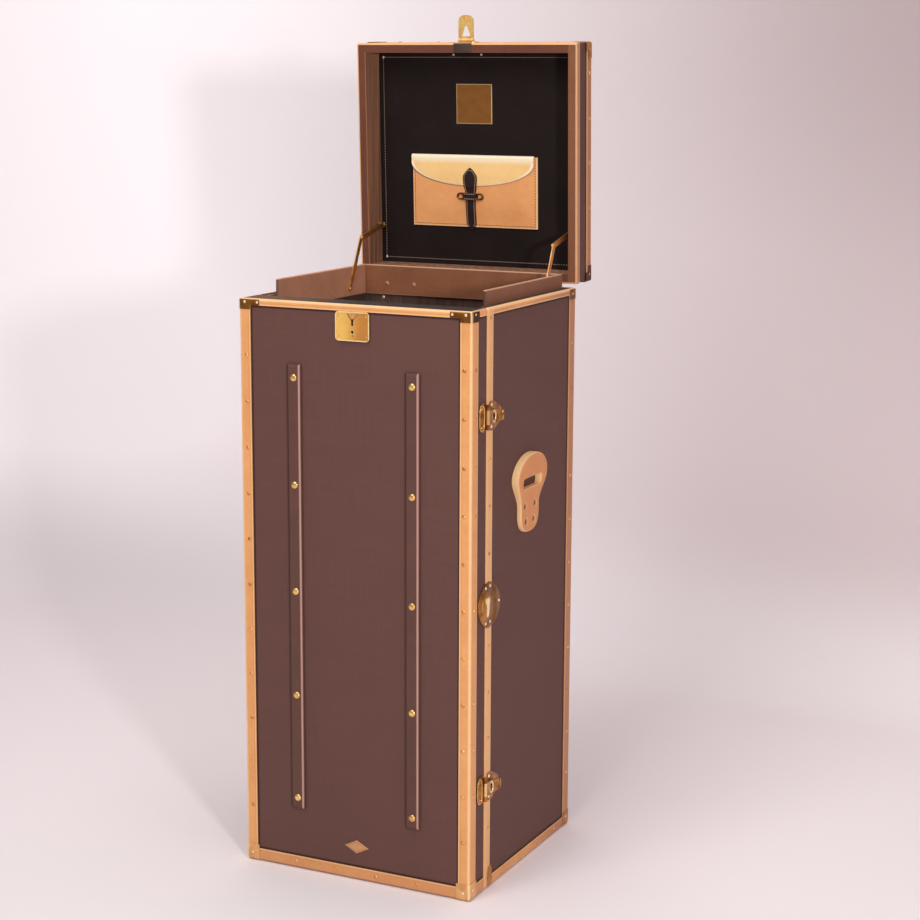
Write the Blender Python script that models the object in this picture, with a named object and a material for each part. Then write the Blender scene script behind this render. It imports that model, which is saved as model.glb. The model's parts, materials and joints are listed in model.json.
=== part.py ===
"""Upright bar trunk with a full-height front door and a top lid.

Metres, +Z up, the door faces -Y. The origin is the middle of the underside of the base.
Every piece is drawn where it sits with the trunk shut. The empties on the hinge lines
then open the lid and its stays to the rest pose.
"""

import math

import bmesh
import bpy
from mathutils import Matrix, Vector

# Overall sizes, over the leather bindings
WIDTH = 0.500
DEPTH = 0.482
HEIGHT = 1.144
LID_HEIGHT = 0.076
DOOR_DEPTH = 0.067
WALL = 0.020
LID_OPENING = math.radians(88.0)

# Clearances
SEAT = 0.0003
DOOR_GAP = 0.001
RIM_GAP = 0.0006
COLLAR_FIT = 0.0006
DOOR_LIFT = 0.003
BASE_LIFT = 0.0016
RUNNING = 0.0004
SPARE = 0.010

# Boards
BASE_BOARD = 0.018
DOOR_BOARD = 0.012
LID_BOARD = 0.010
LINING = 0.0034
SHELF_BOARD = 0.012
WELL_BOARD = 0.010
WELL_DEPTH = 0.150
SHELF_COUNT = 2
BOARD_ROUND = 0.0015

# Collar that the lid closes over
COLLAR_BOARD = 0.007
COLLAR_RISE = 0.029
COLLAR_DROP = 0.033
COLLAR_SETBACK = 0.033
COLLAR_ROUND = 0.0025

# Leather bindings
BINDING = 0.002
BINDING_ROUND = 0.0035
EDGE_STRIP = 0.030
CASE_FRONT_STRIP = 0.023
CASE_BASE_STRIP = 0.020
DOOR_FRONT_STRIP = 0.024
DOOR_SIDE_STRIP = 0.027
DOOR_BASE_STRIP = 0.024
RIM_STRIP = 0.013
FRONT_FLANGE = 0.018
LID_EDGE_STRIP = 0.024

# Brass corner caps
CAP = 0.0008
RIM_SETBACK = 0.0005
DOOR_TOP_CAP = (0.045, 0.030, 0.021)
DOOR_TOP_CAP_STRAP = (0.024, 0.027, 0.0135)
DOOR_BASE_CAP = (0.028, 0.030, 0.032)
CASE_TOP_CAP = (0.030, 0.030, 0.022)
CASE_BASE_CAP = (0.030, 0.030, 0.030)
LID_CAP = (0.032, 0.032, 0.030)
LID_CAP_STRAP = (0.019, 0.019, 0.020)

# Hinges
HINGE_OFFSET = 0.0055
BARREL = 0.005
PIN = 0.002
LEAF = 0.002
LID_HINGE_LENGTH = 0.090
LID_HINGE_REACH = 0.042
LID_HINGE_SPREAD = 0.139
DOOR_HINGE_MARGIN = 0.050
DOOR_HINGE_REACH = 0.016
DOOR_HINGE_KNUCKLES = 15

# Lid stays: the lower pivot and the elbow from the lid's hinge line with the lid open,
# the upper pivot from the hinge line with the lid shut
STAY_BAR = 0.0022
STAY_WIDTH = 0.011
STAY_CASE_FORWARD = 0.1015
STAY_CASE_DROP = 0.0171
STAY_ELBOW_FORWARD = 0.0536
STAY_ELBOW_RISE = 0.0861
STAY_LID_FORWARD = 0.1063
STAY_LID_RISE = 0.0479
STAY_BOSS = 0.005
ELBOW_PIN = 0.0016
ELBOW_EYE = 0.0032

# Door slats
SLAT_WIDTH = 0.030
SLAT_THICKNESS = 0.0065
SLAT_BEVEL = 0.004
SLAT_SPREAD = 0.128
SLAT_BOTTOM = 0.130
SLAT_TOP = 1.022

# Lock plate and hasp
LOCK_WIDTH = 0.073
LOCK_HEIGHT = 0.056
LOCK_THICKNESS = 0.0045
LOCK_ROUND = 0.007
LOCK_RIM = 0.004
LOCK_SINK = 0.0010
LOCK_NOTCH = (0.022, 0.015, 0.0018)
STAPLE_SLOT = (0.0042, 0.0130)
KEYHOLE_RADIUS = 0.0026
KEYHOLE_TAIL = (0.0022, 0.0085)
KEYHOLE_DROP = 0.018
LOCK_CUT = 0.0032
HASP_LENGTH = 0.050
HASP_WIDTH = 0.034
HASP_CORNER = 0.012
HASP_THICKNESS = 0.0022
HASP_OFFSET = 0.0052
HASP_RISE = 0.010
HASP_BARREL = 0.0036
HASP_PIN = 0.0014
HASP_PLATE_RISE = 0.022
WINDOW_START = 0.008
WINDOW_LENGTH = 0.022
WINDOW_WIDTH = 0.020
STAPLE = (0.0024, 0.0070, 0.0030)
STAPLE_SETBACK = 0.0055

# Side latches and centre lock
LATCH_HEIGHTS = (("upper", 0.940), ("lower", 0.210))
LATCH_PLATE_HEIGHT = 0.056
LATCH_PLATE_WIDTH = 0.035
LATCH_AXIS_FORWARD = 0.0065
LATCH_AXIS_OUT = 0.0045
LATCH_BARREL = 0.004
LATCH_PIN = 0.0018
LATCH_LEVER_LENGTH = 0.050
LATCH_LEVER_FOOT = 0.028
LATCH_LEVER_TIP = 0.020
LATCH_LEVER = 0.0022
LATCH_LEVER_LIFT = 0.006
CATCH_WIDTH = 0.050
CATCH_HEIGHT = 0.056
CATCH_SHOULDER = 0.018
CATCH_TAIL = 0.022
CATCH_ROUND = 0.004
CATCH_STUD = 0.0017
CATCH_STUD_RADIUS = 0.006
LATCH_SQUARE = 0.65
LOCK_CENTRE_HEIGHT = 0.575
LOCK_OVAL_WIDTH = 0.090
LOCK_OVAL_HEIGHT = 0.092
LOCK_OVAL_FORWARD = 0.035
LOCK_OVAL_POINT = 1.35
LOCK_DOME = 0.010

# Handles
HANDLE_HEIGHT = 0.1575
HANDLE_WIDTH = 0.138
HANDLE_FOOT = 0.084
HANDLE_NECK = 0.052
HANDLE_BELLY = 0.1125
HANDLE_BOTTOM = 0.6845
HANDLE_REARWARD = 0.011
HANDLE_THICKNESS = 0.015
HANDLE_FOOT_THICKNESS = 0.0095
HANDLE_ROUND = 0.004
HANDLE_SQUARE = 2.6
SLOT_LENGTH = 0.084
SLOT_HEIGHT = 0.021
SLOT_RISE = 0.1005

# Pocket in the lid
LINING_OFFSET = -0.007
POCKET_WIDTH = 0.288
POCKET_HEIGHT = 0.148
POCKET_FORWARD = 0.107
POCKET_THICKNESS = 0.008
POCKET_ROUND = 0.003
FLAP_OVERHANG = 0.002
FLAP_SIDE = 0.015
FLAP_DIP = 0.047
FLAP_THICKNESS = 0.002
STRAP_LENGTH = 0.126
STRAP_WIDTH = 0.029
STRAP_TAIL = 0.022
STRAP_START = 0.102
STRAP_THICKNESS = 0.0024

# Sides of the round forms
ROUND_SIDES = 16
FINE_SIDES = 24

HALF = WIDTH / 2
FRONT = -DEPTH / 2
BACK = DEPTH / 2
DOOR_BACK = FRONT + DOOR_DEPTH
CASE_FRONT = DOOR_BACK + DOOR_GAP
SKIN = BINDING + SEAT
INNER = HALF - WALL
CANVAS = HALF - SKIN
LID_RIM = HEIGHT + RIM_GAP
LID_TOP = HEIGHT + LID_HEIGHT
COLLAR_INNER = INNER - COLLAR_FIT - COLLAR_BOARD
COLLAR_FRONT = CASE_FRONT + COLLAR_SETBACK
LID_AXIS = Vector((0, BACK + HINGE_OFFSET, HEIGHT))
DOOR_AXIS = Vector((-HALF - HINGE_OFFSET, (DOOR_BACK + CASE_FRONT) / 2, 0))


# Shapes

def block(low, high, rounding=0.0, segments=2):
    """A box between two corners, with all its edges rounded if asked."""
    shape = bmesh.new()
    bmesh.ops.create_cube(shape, size=1.0)
    low = Vector(low)
    high = Vector(high)
    size = high - low
    bmesh.ops.scale(shape, vec=size, verts=shape.verts)
    bmesh.ops.translate(shape, vec=(low + high) / 2, verts=shape.verts)
    if rounding > 0:
        rounding = min(rounding, min(size) * 0.45)
        bmesh.ops.bevel(shape, geom=shape.edges[:], offset=rounding, segments=segments,
                        profile=0.5, affect='EDGES')
    return shape


def place(u, v, w, axes):
    """A point whose first, second and third values lie along the named axes."""
    point = Vector()
    for value, axis in zip((u, v, w), axes):
        point["xyz".index(axis)] = value
    return point


def loft(loops):
    """A solid through rings of points, closed with a face at each end."""
    shape = bmesh.new()
    rings = [[shape.verts.new(point) for point in loop] for loop in loops]
    for ring, following in zip(rings, rings[1:]):
        for k in range(len(ring)):
            after = (k + 1) % len(ring)
            shape.faces.new((ring[k], ring[after], following[after], following[k]))
    shape.faces.new(reversed(rings[0]))
    shape.faces.new(rings[-1])
    bmesh.ops.recalc_face_normals(shape, faces=shape.faces)
    return shape


def prism(outline, low, high, axes):
    """An outline on the first two axes, carried along the third."""
    return loft([[place(u, v, w, axes) for u, v in outline] for w in (low, high)])


def mitred_frame(profile, corners, axes):
    """A profile of insets and depths carried round a rectangle with mitred corners."""
    (u0, v0), (u1, v1) = corners
    shape = bmesh.new()
    rings = []
    for u, v, inward_u, inward_v in ((u0, v0, 1, 1), (u1, v0, -1, 1), (u1, v1, -1, -1), (u0, v1, 1, -1)):
        rings.append([shape.verts.new(place(u + inward_u * inset, v + inward_v * inset, depth, axes))
                      for inset, depth in profile])
    for ring, following in zip(rings, rings[1:] + rings[:1]):
        for k in range(len(profile)):
            after = (k + 1) % len(profile)
            shape.faces.new((ring[k], ring[after], following[after], following[k]))
    return shape


def arc(centre, radius, start, end, steps):
    """Points along an arc, angles in degrees."""
    angles = [math.radians(start + (end - start) * k / steps) for k in range(steps + 1)]
    return [(centre[0] + radius * math.cos(a), centre[1] + radius * math.sin(a)) for a in angles]


def circle(centre, radius, sides):
    """Points round a circle, with a flat at each quarter."""
    half_step = 180 / sides
    return arc(centre, radius, half_step, 360 + half_step, sides)[:-1]


def rounded_rectangle(centre, width, height, radius, steps=4):
    """Points round a rectangle with round corners."""
    u = width / 2 - radius
    v = height / 2 - radius
    outline = []
    for sign_u, sign_v, start in ((1, 1, 0), (-1, 1, 90), (-1, -1, 180), (1, -1, 270)):
        corner = (centre[0] + sign_u * u, centre[1] + sign_v * v)
        outline += arc(corner, radius, start, start + 90, steps)
    return outline


def stadium(start, end, width, steps=8):
    """Points round a bar with round ends that runs along the first axis."""
    return (arc((start, 0), width / 2, 90, 270, steps) + arc((end, 0), width / 2, -90, 90, steps))


def boolean(base, tool, operation):
    """The base joined with, cut by or kept inside the tool, which is used up."""
    holders = []
    for shape in (base, tool):
        mesh = bpy.data.meshes.new("working")
        shape.to_mesh(mesh)
        shape.free()
        holder = bpy.data.objects.new("working", mesh)
        bpy.context.scene.collection.objects.link(holder)
        holders.append(holder)
    modifier = holders[0].modifiers.new("join", 'BOOLEAN')
    modifier.operation = operation
    modifier.object = holders[1]
    evaluated = holders[0].evaluated_get(bpy.context.evaluated_depsgraph_get())
    result = bmesh.new()
    result.from_mesh(evaluated.to_mesh())
    evaluated.to_mesh_clear()
    for holder in holders:
        mesh = holder.data
        bpy.data.objects.remove(holder)
        bpy.data.meshes.remove(mesh)
    return result


def cut(base, *tools):
    """The base with every tool taken away."""
    for tool in tools:
        base = boolean(base, tool, 'DIFFERENCE')
    return base


def union(base, *tools):
    """The base with every tool joined on."""
    for tool in tools:
        base = boolean(base, tool, 'UNION')
    return base


def shell(low, high, *windows):
    """A leather skin round a box, with a window cut for each pair of corners."""
    thick = Vector((BINDING,) * 3)
    skin = cut(block(low, high, BINDING_ROUND), block(Vector(low) + thick, Vector(high) - thick))
    return cut(skin, *(block(*corners) for corners in windows))


def moved(shape, matrix):
    """The shape carried to another place."""
    bmesh.ops.transform(shape, matrix=matrix, verts=shape.verts)
    return shape


# Finishes, carriers and pieces

def finish(name, colour, roughness, metallic=0.0):
    """A plain material."""
    made = bpy.data.materials.new(name)
    made.use_nodes = True
    shader = made.node_tree.nodes["Principled BSDF"]
    shader.inputs["Base Color"].default_value = (*colour, 1.0)
    shader.inputs["Roughness"].default_value = roughness
    shader.inputs["Metallic"].default_value = metallic
    return made


def carrier(name, pivot, parent=None, turn=0.0):
    """An empty on a joint line, turned about X from the shut pose to the rest pose."""
    empty = bpy.data.objects.new(name, None)
    bpy.context.scene.collection.objects.link(empty)
    empty["pivot"] = tuple(pivot)
    empty.location = Vector(pivot)
    if parent:
        empty.parent = parent
        empty.location = Vector(pivot) - Vector(parent["pivot"])
    empty.rotation_euler = (turn, 0, 0)
    return empty


def piece(name, shape, material, on=None, smooth=30):
    """A named solid from a shape drawn in the shut trunk, riding on a carrier."""
    bmesh.ops.remove_doubles(shape, verts=shape.verts, dist=0.000002)
    bmesh.ops.recalc_face_normals(shape, faces=shape.faces)
    mesh = bpy.data.meshes.new(name)
    shape.to_mesh(mesh)
    shape.free()
    mesh.materials.append(material)
    mesh.shade_smooth()
    mesh.set_sharp_from_angle(angle=math.radians(smooth))
    made = bpy.data.objects.new(name, mesh)
    bpy.context.scene.collection.objects.link(made)
    if on:
        made.parent = on
        made.location = -Vector(on["pivot"])
    return made


def corner_cap(low, high, signs, legs, straps, at_rim=False):
    """A thin cap over one corner of a box, with a leg along each edge; a rim corner has no top."""
    low = Vector(low)
    high = Vector(high)
    corner = Vector([high[k] if signs[k] > 0 else low[k] for k in range(3)])
    proud = Vector((SEAT + CAP,) * 3)
    clear = Vector((SEAT,) * 3)
    skin = block(low - proud, high + proud, BINDING_ROUND + SEAT + CAP)
    core_low = low - clear
    core_high = high + clear
    reach = Vector([corner[k] + signs[k] * SPARE for k in range(3)])
    if at_rim:
        core_high.z += SPARE
        reach.z = corner.z - RIM_SETBACK
    inner = Vector([corner[k] - signs[k] * legs[k] for k in range(3)])
    region = block([min(a, b) for a, b in zip(reach, inner)], [max(a, b) for a, b in zip(reach, inner)])
    cap = cut(boolean(skin, region, 'INTERSECT'), block(core_low, core_high, BINDING_ROUND + SEAT))
    for across, along in ((0, 1), (0, 2), (1, 2)):
        if straps[across] >= legs[across] or straps[along] >= legs[along]:
            continue
        start = list(corner + Vector(signs) * SPARE)
        stop = list(inner - Vector(signs) * SPARE)
        for k in (across, along):
            start[k] = corner[k] - signs[k] * straps[k]
        cap = cut(cap, block([min(a, b) for a, b in zip(start, stop)],
                             [max(a, b) for a, b in zip(start, stop)]))
    return cap


def hinge_leaf(length, knuckles, owner, seat, outer, reach, barrel, pin):
    """One leaf of a butt hinge along X: owner 0 has the end knuckles and the pin, owner 1 the bores."""
    step = length / knuckles
    sign = math.copysign(1, reach)
    edges = sorted((-sign * pin / 2, reach))
    notch = sorted((-sign * SPARE, sign * (barrel + RUNNING)))
    leaf = block((-length / 2, seat, edges[0]), (length / 2, outer, edges[1]))
    for k in range(1 - owner, knuckles, 2):
        start = -length / 2 + k * step - RUNNING / 2
        leaf = cut(leaf, block((start, seat - SPARE, notch[0]),
                               (start + step + RUNNING, outer + SPARE, notch[1])))
    for k in range(owner, knuckles, 2):
        start = -length / 2 + k * step + RUNNING / 2
        leaf = union(leaf, prism(circle((0, 0), barrel, ROUND_SIDES), start, start + step - RUNNING, "yzx"))
    if owner == 0:
        end = length / 2 - RUNNING
        return union(leaf, prism(circle((0, 0), pin, ROUND_SIDES), -end, end, "yzx"))
    return cut(leaf, prism(circle((0, 0), pin + RUNNING, ROUND_SIDES), -length, length, "yzx"))


for leftover in list(bpy.data.objects):
    bpy.data.objects.remove(leftover)

CANVAS_CLOTH = finish("brown_canvas", (0.147, 0.070, 0.058), 0.85)
TAN_LEATHER = finish("tan_leather", (0.60, 0.315, 0.145), 0.50)
BROWN_LEATHER = finish("brown_leather", (0.190, 0.080, 0.042), 0.55)
BLACK_LEATHER = finish("black_leather", (0.013, 0.009, 0.009), 0.45)
BRASS = finish("brass", (0.60, 0.36, 0.10), 0.28, 1.0)

door = carrier("door_hinge_line", DOOR_AXIS)
lid = carrier("lid_hinge_line", LID_AXIS, turn=-LID_OPENING)


# Case boards

shelf_span = INNER - SEAT
shelf_back = BACK - WALL - SEAT
pad = EDGE_STRIP + SEAT
base_steps = (((-HALF + pad, CASE_FRONT + pad), (HALF - pad, BACK - pad), (0, BASE_LIFT + SKIN)),
              ((-CANVAS, CASE_FRONT + SKIN), (CANVAS, BACK - SKIN), (BASE_LIFT + SKIN, BASE_BOARD)))
base_loops = []
for (x0, y0), (x1, y1), levels in base_steps:
    base_loops += [[(x0, y0, z), (x1, y0, z), (x1, y1, z), (x0, y1, z)] for z in levels]
piece("base_panel", loft(base_loops), CANVAS_CLOTH)

for side, name in ((-1, "left"), (1, "right")):
    edges = sorted((side * INNER, side * CANVAS))
    piece(name + "_side_panel", block((edges[0], CASE_FRONT + SKIN, BASE_BOARD + SEAT),
                                      (edges[1], BACK - SKIN, HEIGHT - SKIN)), CANVAS_CLOTH)
piece("back_panel", block((-shelf_span, BACK - WALL, BASE_BOARD + SEAT),
                          (shelf_span, BACK - SKIN, HEIGHT - SKIN)), CANVAS_CLOTH)

counter_top = HEIGHT - WELL_DEPTH
piece("well_floor", block((-shelf_span, COLLAR_FRONT, counter_top - SHELF_BOARD),
                          (shelf_span, shelf_back, counter_top), BOARD_ROUND), BROWN_LEATHER)
piece("well_front", block((-shelf_span, COLLAR_FRONT, counter_top + SEAT),
                          (shelf_span, COLLAR_FRONT + WELL_BOARD, HEIGHT - COLLAR_DROP - SEAT), BOARD_ROUND),
      BROWN_LEATHER)
bay = (counter_top - SHELF_BOARD - BASE_BOARD) / (SHELF_COUNT + 1)
for k in range(SHELF_COUNT):
    top = BASE_BOARD + bay * (k + 1) + SHELF_BOARD / 2
    piece(f"shelf_{k + 1}", block((-shelf_span, COLLAR_FRONT, top - SHELF_BOARD),
                                  (shelf_span, shelf_back, top), BOARD_ROUND), BROWN_LEATHER)

# Collar boards

collar_low = HEIGHT - COLLAR_DROP
collar_high = HEIGHT + COLLAR_RISE
collar_back = BACK - WALL - COLLAR_FIT
for side, name in ((-1, "left"), (1, "right")):
    edges = sorted((side * COLLAR_INNER, side * (COLLAR_INNER + COLLAR_BOARD)))
    piece(name + "_collar", block((edges[0], COLLAR_FRONT, collar_low),
                                  (edges[1], collar_back, collar_high), COLLAR_ROUND), BROWN_LEATHER)
piece("back_collar", block((-COLLAR_INNER + SEAT, collar_back - COLLAR_BOARD, collar_low),
                           (COLLAR_INNER - SEAT, collar_back, collar_high), COLLAR_ROUND), BROWN_LEATHER)

# Case binding: a shell round the case with a window left for each face

case_low = Vector((-HALF, CASE_FRONT, BASE_LIFT))
case_high = Vector((HALF, BACK, HEIGHT))
strip_low = BASE_LIFT + CASE_BASE_STRIP
strip_high = HEIGHT - RIM_STRIP
piece("case_binding", shell(
    case_low, case_high,
    ((-HALF - SPARE, CASE_FRONT + CASE_FRONT_STRIP, strip_low),
     (HALF + SPARE, BACK - EDGE_STRIP, strip_high)),
    ((-HALF + EDGE_STRIP, BACK - SPARE, strip_low), (HALF - EDGE_STRIP, BACK + SPARE, strip_high)),
    ((-HALF + FRONT_FLANGE, CASE_FRONT - SPARE, BASE_LIFT + FRONT_FLANGE),
     (HALF - FRONT_FLANGE, CASE_FRONT + SPARE, HEIGHT + SPARE)),
    ((-INNER, CASE_FRONT - SPARE, HEIGHT - SPARE), (INNER, BACK - WALL, HEIGHT + SPARE)),
    ((-HALF + EDGE_STRIP, CASE_FRONT + EDGE_STRIP, BASE_LIFT - SPARE),
     (HALF - EDGE_STRIP, BACK - EDGE_STRIP, BASE_LIFT + SPARE))), TAN_LEATHER)

for side, name in ((-1, "left"), (1, "right")):
    piece(name + "_back_top_cap", corner_cap(case_low, case_high, (side, 1, 1), CASE_TOP_CAP, CASE_TOP_CAP,
                                             at_rim=True), BRASS)
    piece(name + "_back_base_cap", corner_cap(case_low, case_high, (side, 1, -1), CASE_BASE_CAP,
                                              CASE_BASE_CAP), BRASS)


# Handles: a sole-shaped leather pad, thick at the finger slot and thin at the riveted foot

def handle_station(height):
    """Half width of the handle at a height over its foot."""
    foot = HANDLE_FOOT / 2
    belly = HANDLE_WIDTH / 2
    if height < foot:
        return foot * max(0.0, 1 - (1 - height / foot) ** HANDLE_SQUARE) ** (1 / HANDLE_SQUARE)
    if height < HANDLE_BELLY:
        t = max(0.0, (height - HANDLE_NECK) / (HANDLE_BELLY - HANDLE_NECK))
        return foot + (belly - foot) * t * t * (3 - 2 * t)
    crown = (height - HANDLE_BELLY) / (HANDLE_HEIGHT - HANDLE_BELLY)
    return belly * math.sqrt(max(0.0, 1 - crown ** 2))


def handle_depth(height):
    """Thickness of the handle at a height over its foot."""
    low = HANDLE_FOOT * 0.6
    t = min(1.0, max(0.0, (height - low) / (HANDLE_BELLY - low)))
    return HANDLE_FOOT_THICKNESS + (HANDLE_THICKNESS - HANDLE_FOOT_THICKNESS) * t * t * (3 - 2 * t)


def handle_shape():
    """The handle lying on the Y-Z plane, its face towards +X, with the finger slot cut through."""
    foot = HANDLE_FOOT / 2
    crown = HANDLE_HEIGHT - HANDLE_BELLY
    quarter = [math.radians(90 * k / 7) for k in range(8)]
    heights = [foot * (1 - math.cos(a)) for a in quarter]
    heights += [HANDLE_NECK + (HANDLE_BELLY - HANDLE_NECK) * k / 8 for k in range(8)]
    heights += [HANDLE_BELLY + crown * math.sin(a) for a in quarter]
    middle = HANDLE_HEIGHT / 2
    shrink_y = 1 - 2 * HANDLE_ROUND / HANDLE_WIDTH
    shrink_z = 1 - 2 * HANDLE_ROUND / HANDLE_HEIGHT
    layers = ((0.0, 0.0), (0.0, 1.0), (0.3, 0.3), (1.0, 0.0))
    shape = bmesh.new()
    rows = []
    for inset, sink in layers:
        right = []
        left = []
        for height in heights:
            half = handle_station(height) * (1 + (shrink_y - 1) * inset)
            z = middle + (height - middle) * (1 + (shrink_z - 1) * inset)
            x = 0.0 if not rows else handle_depth(height) - HANDLE_ROUND * sink
            right.append(shape.verts.new((x, half, z)))
            left.append(right[-1] if half == 0 else shape.verts.new((x, -half, z)))
        rows.append((right, left))

    def face(*corners):
        """A face on those of the corners that differ."""
        ring = [corner for k, corner in enumerate(corners) if corner not in corners[:k]]
        if len(ring) > 2:
            shape.faces.new(ring)

    for k in range(len(heights) - 1):
        for (right, left), (next_right, next_left) in zip(rows, rows[1:]):
            face(right[k], right[k + 1], next_right[k + 1], next_right[k])
            face(left[k + 1], left[k], next_left[k], next_left[k + 1])
        for right, left in (rows[0], rows[-1]):
            face(right[k], right[k + 1], left[k + 1], left[k])
    bmesh.ops.recalc_face_normals(shape, faces=shape.faces)
    slot = rounded_rectangle((0, SLOT_RISE), SLOT_LENGTH, SLOT_HEIGHT, SLOT_HEIGHT * 0.4)
    return cut(shape, prism(slot, -SPARE, HANDLE_THICKNESS + SPARE, "yzx"))


for side, name in ((-1, "left"), (1, "right")):
    stand = Matrix.Translation((side * (CANVAS + SEAT), HANDLE_REARWARD, HANDLE_BOTTOM))
    piece(name + "_handle", moved(handle_shape(), stand @ Matrix.Diagonal((side, 1, 1, 1))), TAN_LEATHER)

# Lid hinges, on the outside of the back

for side, name in ((-1, "left"), (1, "right")):
    stand = Matrix.Translation(LID_AXIS + Vector((side * LID_HINGE_SPREAD, 0, 0)))
    seat = -HINGE_OFFSET + SEAT
    for owner, label, reach, body in ((0, "case", -LID_HINGE_REACH, None), (1, "lid", LID_HINGE_REACH, lid)):
        leaf = hinge_leaf(LID_HINGE_LENGTH, 3, owner, seat, seat + LEAF, reach, BARREL, PIN)
        piece(f"{name}_lid_hinge_{label}_leaf", moved(leaf, stand), BRASS, body)

# Door hinge, a long hinge on the outside of the left edge

door_hinge_length = HEIGHT - 2 * DOOR_HINGE_MARGIN
upright = Matrix(((0, -1, 0, 0), (0, 0, 1, 0), (1, 0, 0, 0), (0, 0, 0, 1)))
stand = Matrix.Translation(DOOR_AXIS + Vector((0, 0, HEIGHT / 2))) @ upright
outer = -HINGE_OFFSET + SEAT + LEAF
for owner, label, packing, reach, body in ((0, "case", 0, DOOR_HINGE_REACH, None),
                                           (1, "door", BINDING, -DOOR_HINGE_REACH, door)):
    seat = -HINGE_OFFSET + SEAT - packing
    leaf = hinge_leaf(door_hinge_length, DOOR_HINGE_KNUCKLES, owner, seat, outer, reach, BARREL, PIN)
    piece(f"door_hinge_{label}_leaf", moved(leaf, stand), BRASS, body)

# Door: front board, frame, binding and caps

door_low = Vector((-HALF, FRONT, DOOR_LIFT))
door_high = Vector((HALF, DOOR_BACK, HEIGHT))
board_back = FRONT + SKIN + DOOR_BOARD
piece("door_panel", block((-CANVAS, FRONT + SKIN, DOOR_LIFT + SKIN), (CANVAS, board_back, HEIGHT - SKIN)),
      CANVAS_CLOTH, door)
rail = [(SKIN, board_back + SEAT), (WALL, board_back + SEAT), (WALL, DOOR_BACK), (SKIN, DOOR_BACK)]
piece("door_frame", mitred_frame(rail, ((-HALF, DOOR_LIFT), (HALF, HEIGHT)), "xzy"), CANVAS_CLOTH, door)
piece("door_binding", shell(
    door_low, door_high,
    ((-HALF + BINDING, DOOR_BACK - SPARE, DOOR_LIFT + BINDING),
     (HALF - BINDING, DOOR_BACK + SPARE, HEIGHT - BINDING)),
    ((-HALF + DOOR_FRONT_STRIP, FRONT - SPARE, DOOR_LIFT + DOOR_BASE_STRIP),
     (HALF - DOOR_FRONT_STRIP, FRONT + SPARE, HEIGHT - RIM_STRIP)),
    ((-HALF - SPARE, FRONT + DOOR_SIDE_STRIP, DOOR_LIFT + DOOR_BASE_STRIP),
     (HALF + SPARE, DOOR_BACK + SPARE, HEIGHT - RIM_STRIP)),
    ((-HALF + DOOR_SIDE_STRIP, FRONT + DOOR_SIDE_STRIP, DOOR_LIFT - SPARE),
     (HALF - DOOR_SIDE_STRIP, DOOR_BACK + SPARE, DOOR_LIFT + SPARE))), TAN_LEATHER, door)
for side, name in ((-1, "left"), (1, "right")):
    piece(f"door_{name}_top_cap", corner_cap(door_low, door_high, (side, -1, 1), DOOR_TOP_CAP,
                                             DOOR_TOP_CAP_STRAP, at_rim=True), BRASS, door)
    piece(f"door_{name}_base_cap", corner_cap(door_low, door_high, (side, -1, -1), DOOR_BASE_CAP,
                                              DOOR_BASE_CAP), BRASS, door)

# Slats, bevelled on the face and the ends

for side, name in ((-1, "left"), (1, "right")):
    middle = side * SLAT_SPREAD
    foot = FRONT + BINDING
    face = foot - SLAT_THICKNESS
    loops = []
    for y, inset in ((foot, 0), (face + SLAT_BEVEL / 2, 0), (face, SLAT_BEVEL)):
        x = SLAT_WIDTH / 2 - inset
        loops.append([(middle - x, y, SLAT_BOTTOM + inset), (middle + x, y, SLAT_BOTTOM + inset),
                      (middle + x, y, SLAT_TOP - inset), (middle - x, y, SLAT_TOP - inset)])
    piece(name + "_slat", loft(loops), BROWN_LEATHER, door)

# Lock plate: raised rim, a V for the hasp's tip, the staple slot and the keyhole

lock_top = HEIGHT - RIM_STRIP - SEAT
lock_middle = (0, lock_top - LOCK_HEIGHT / 2)
lock_seat = FRONT + BINDING
lock_face = lock_seat - LOCK_THICKNESS
hasp_pivot = Vector((0, FRONT - HASP_OFFSET, LID_RIM + HASP_RISE))
staple_height = hasp_pivot.z - HASP_LENGTH + STAPLE_SETBACK
key = (0, staple_height - KEYHOLE_DROP)
tail = (0, key[1] - KEYHOLE_TAIL[1] / 2)
sink = rounded_rectangle(lock_middle, LOCK_WIDTH - 2 * LOCK_RIM, LOCK_HEIGHT - 2 * LOCK_RIM,
                         LOCK_ROUND - LOCK_RIM / 2)
notch_top = lock_top - LOCK_RIM
notch = [(-LOCK_NOTCH[0] / 2, notch_top), (LOCK_NOTCH[0] / 2, notch_top), (0, notch_top - LOCK_NOTCH[1])]
piece("lock_plate", cut(
    prism(rounded_rectangle(lock_middle, LOCK_WIDTH, LOCK_HEIGHT, LOCK_ROUND), lock_face, lock_seat, "xzy"),
    prism(sink, lock_face - SPARE, lock_face + LOCK_SINK, "xzy"),
    prism(notch, lock_face - SPARE, lock_face + LOCK_NOTCH[2], "xzy"),
    prism(rounded_rectangle((0, staple_height), *STAPLE_SLOT, STAPLE_SLOT[0] * 0.4),
          lock_face - SPARE, lock_face + LOCK_CUT, "xzy"),
    union(prism(circle(key, KEYHOLE_RADIUS, ROUND_SIDES), lock_face - SPARE, lock_face + LOCK_CUT, "xzy"),
          block((-KEYHOLE_TAIL[0] / 2, lock_face - SPARE * 1.1, tail[1] - KEYHOLE_TAIL[1] / 2),
                (KEYHOLE_TAIL[0] / 2, lock_face + LOCK_CUT * 0.9, key[1])))), BRASS, door)


# Side latches: a hinged lever on the door that closes over a catch plate on the case

def plate_outline(width, height, centre, middle, square):
    """A plate standing on its point: square below 1 squares its sides, above 1 makes a diamond."""
    outline = []
    for k in range(FINE_SIDES):
        a = math.radians(360 * (k + 0.5) / FINE_SIDES)
        reach = math.copysign(abs(math.cos(a)) ** square, math.cos(a))
        outline.append((centre + width / 2 * reach, middle + height / 2 * math.sin(a)))
    return outline


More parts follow.
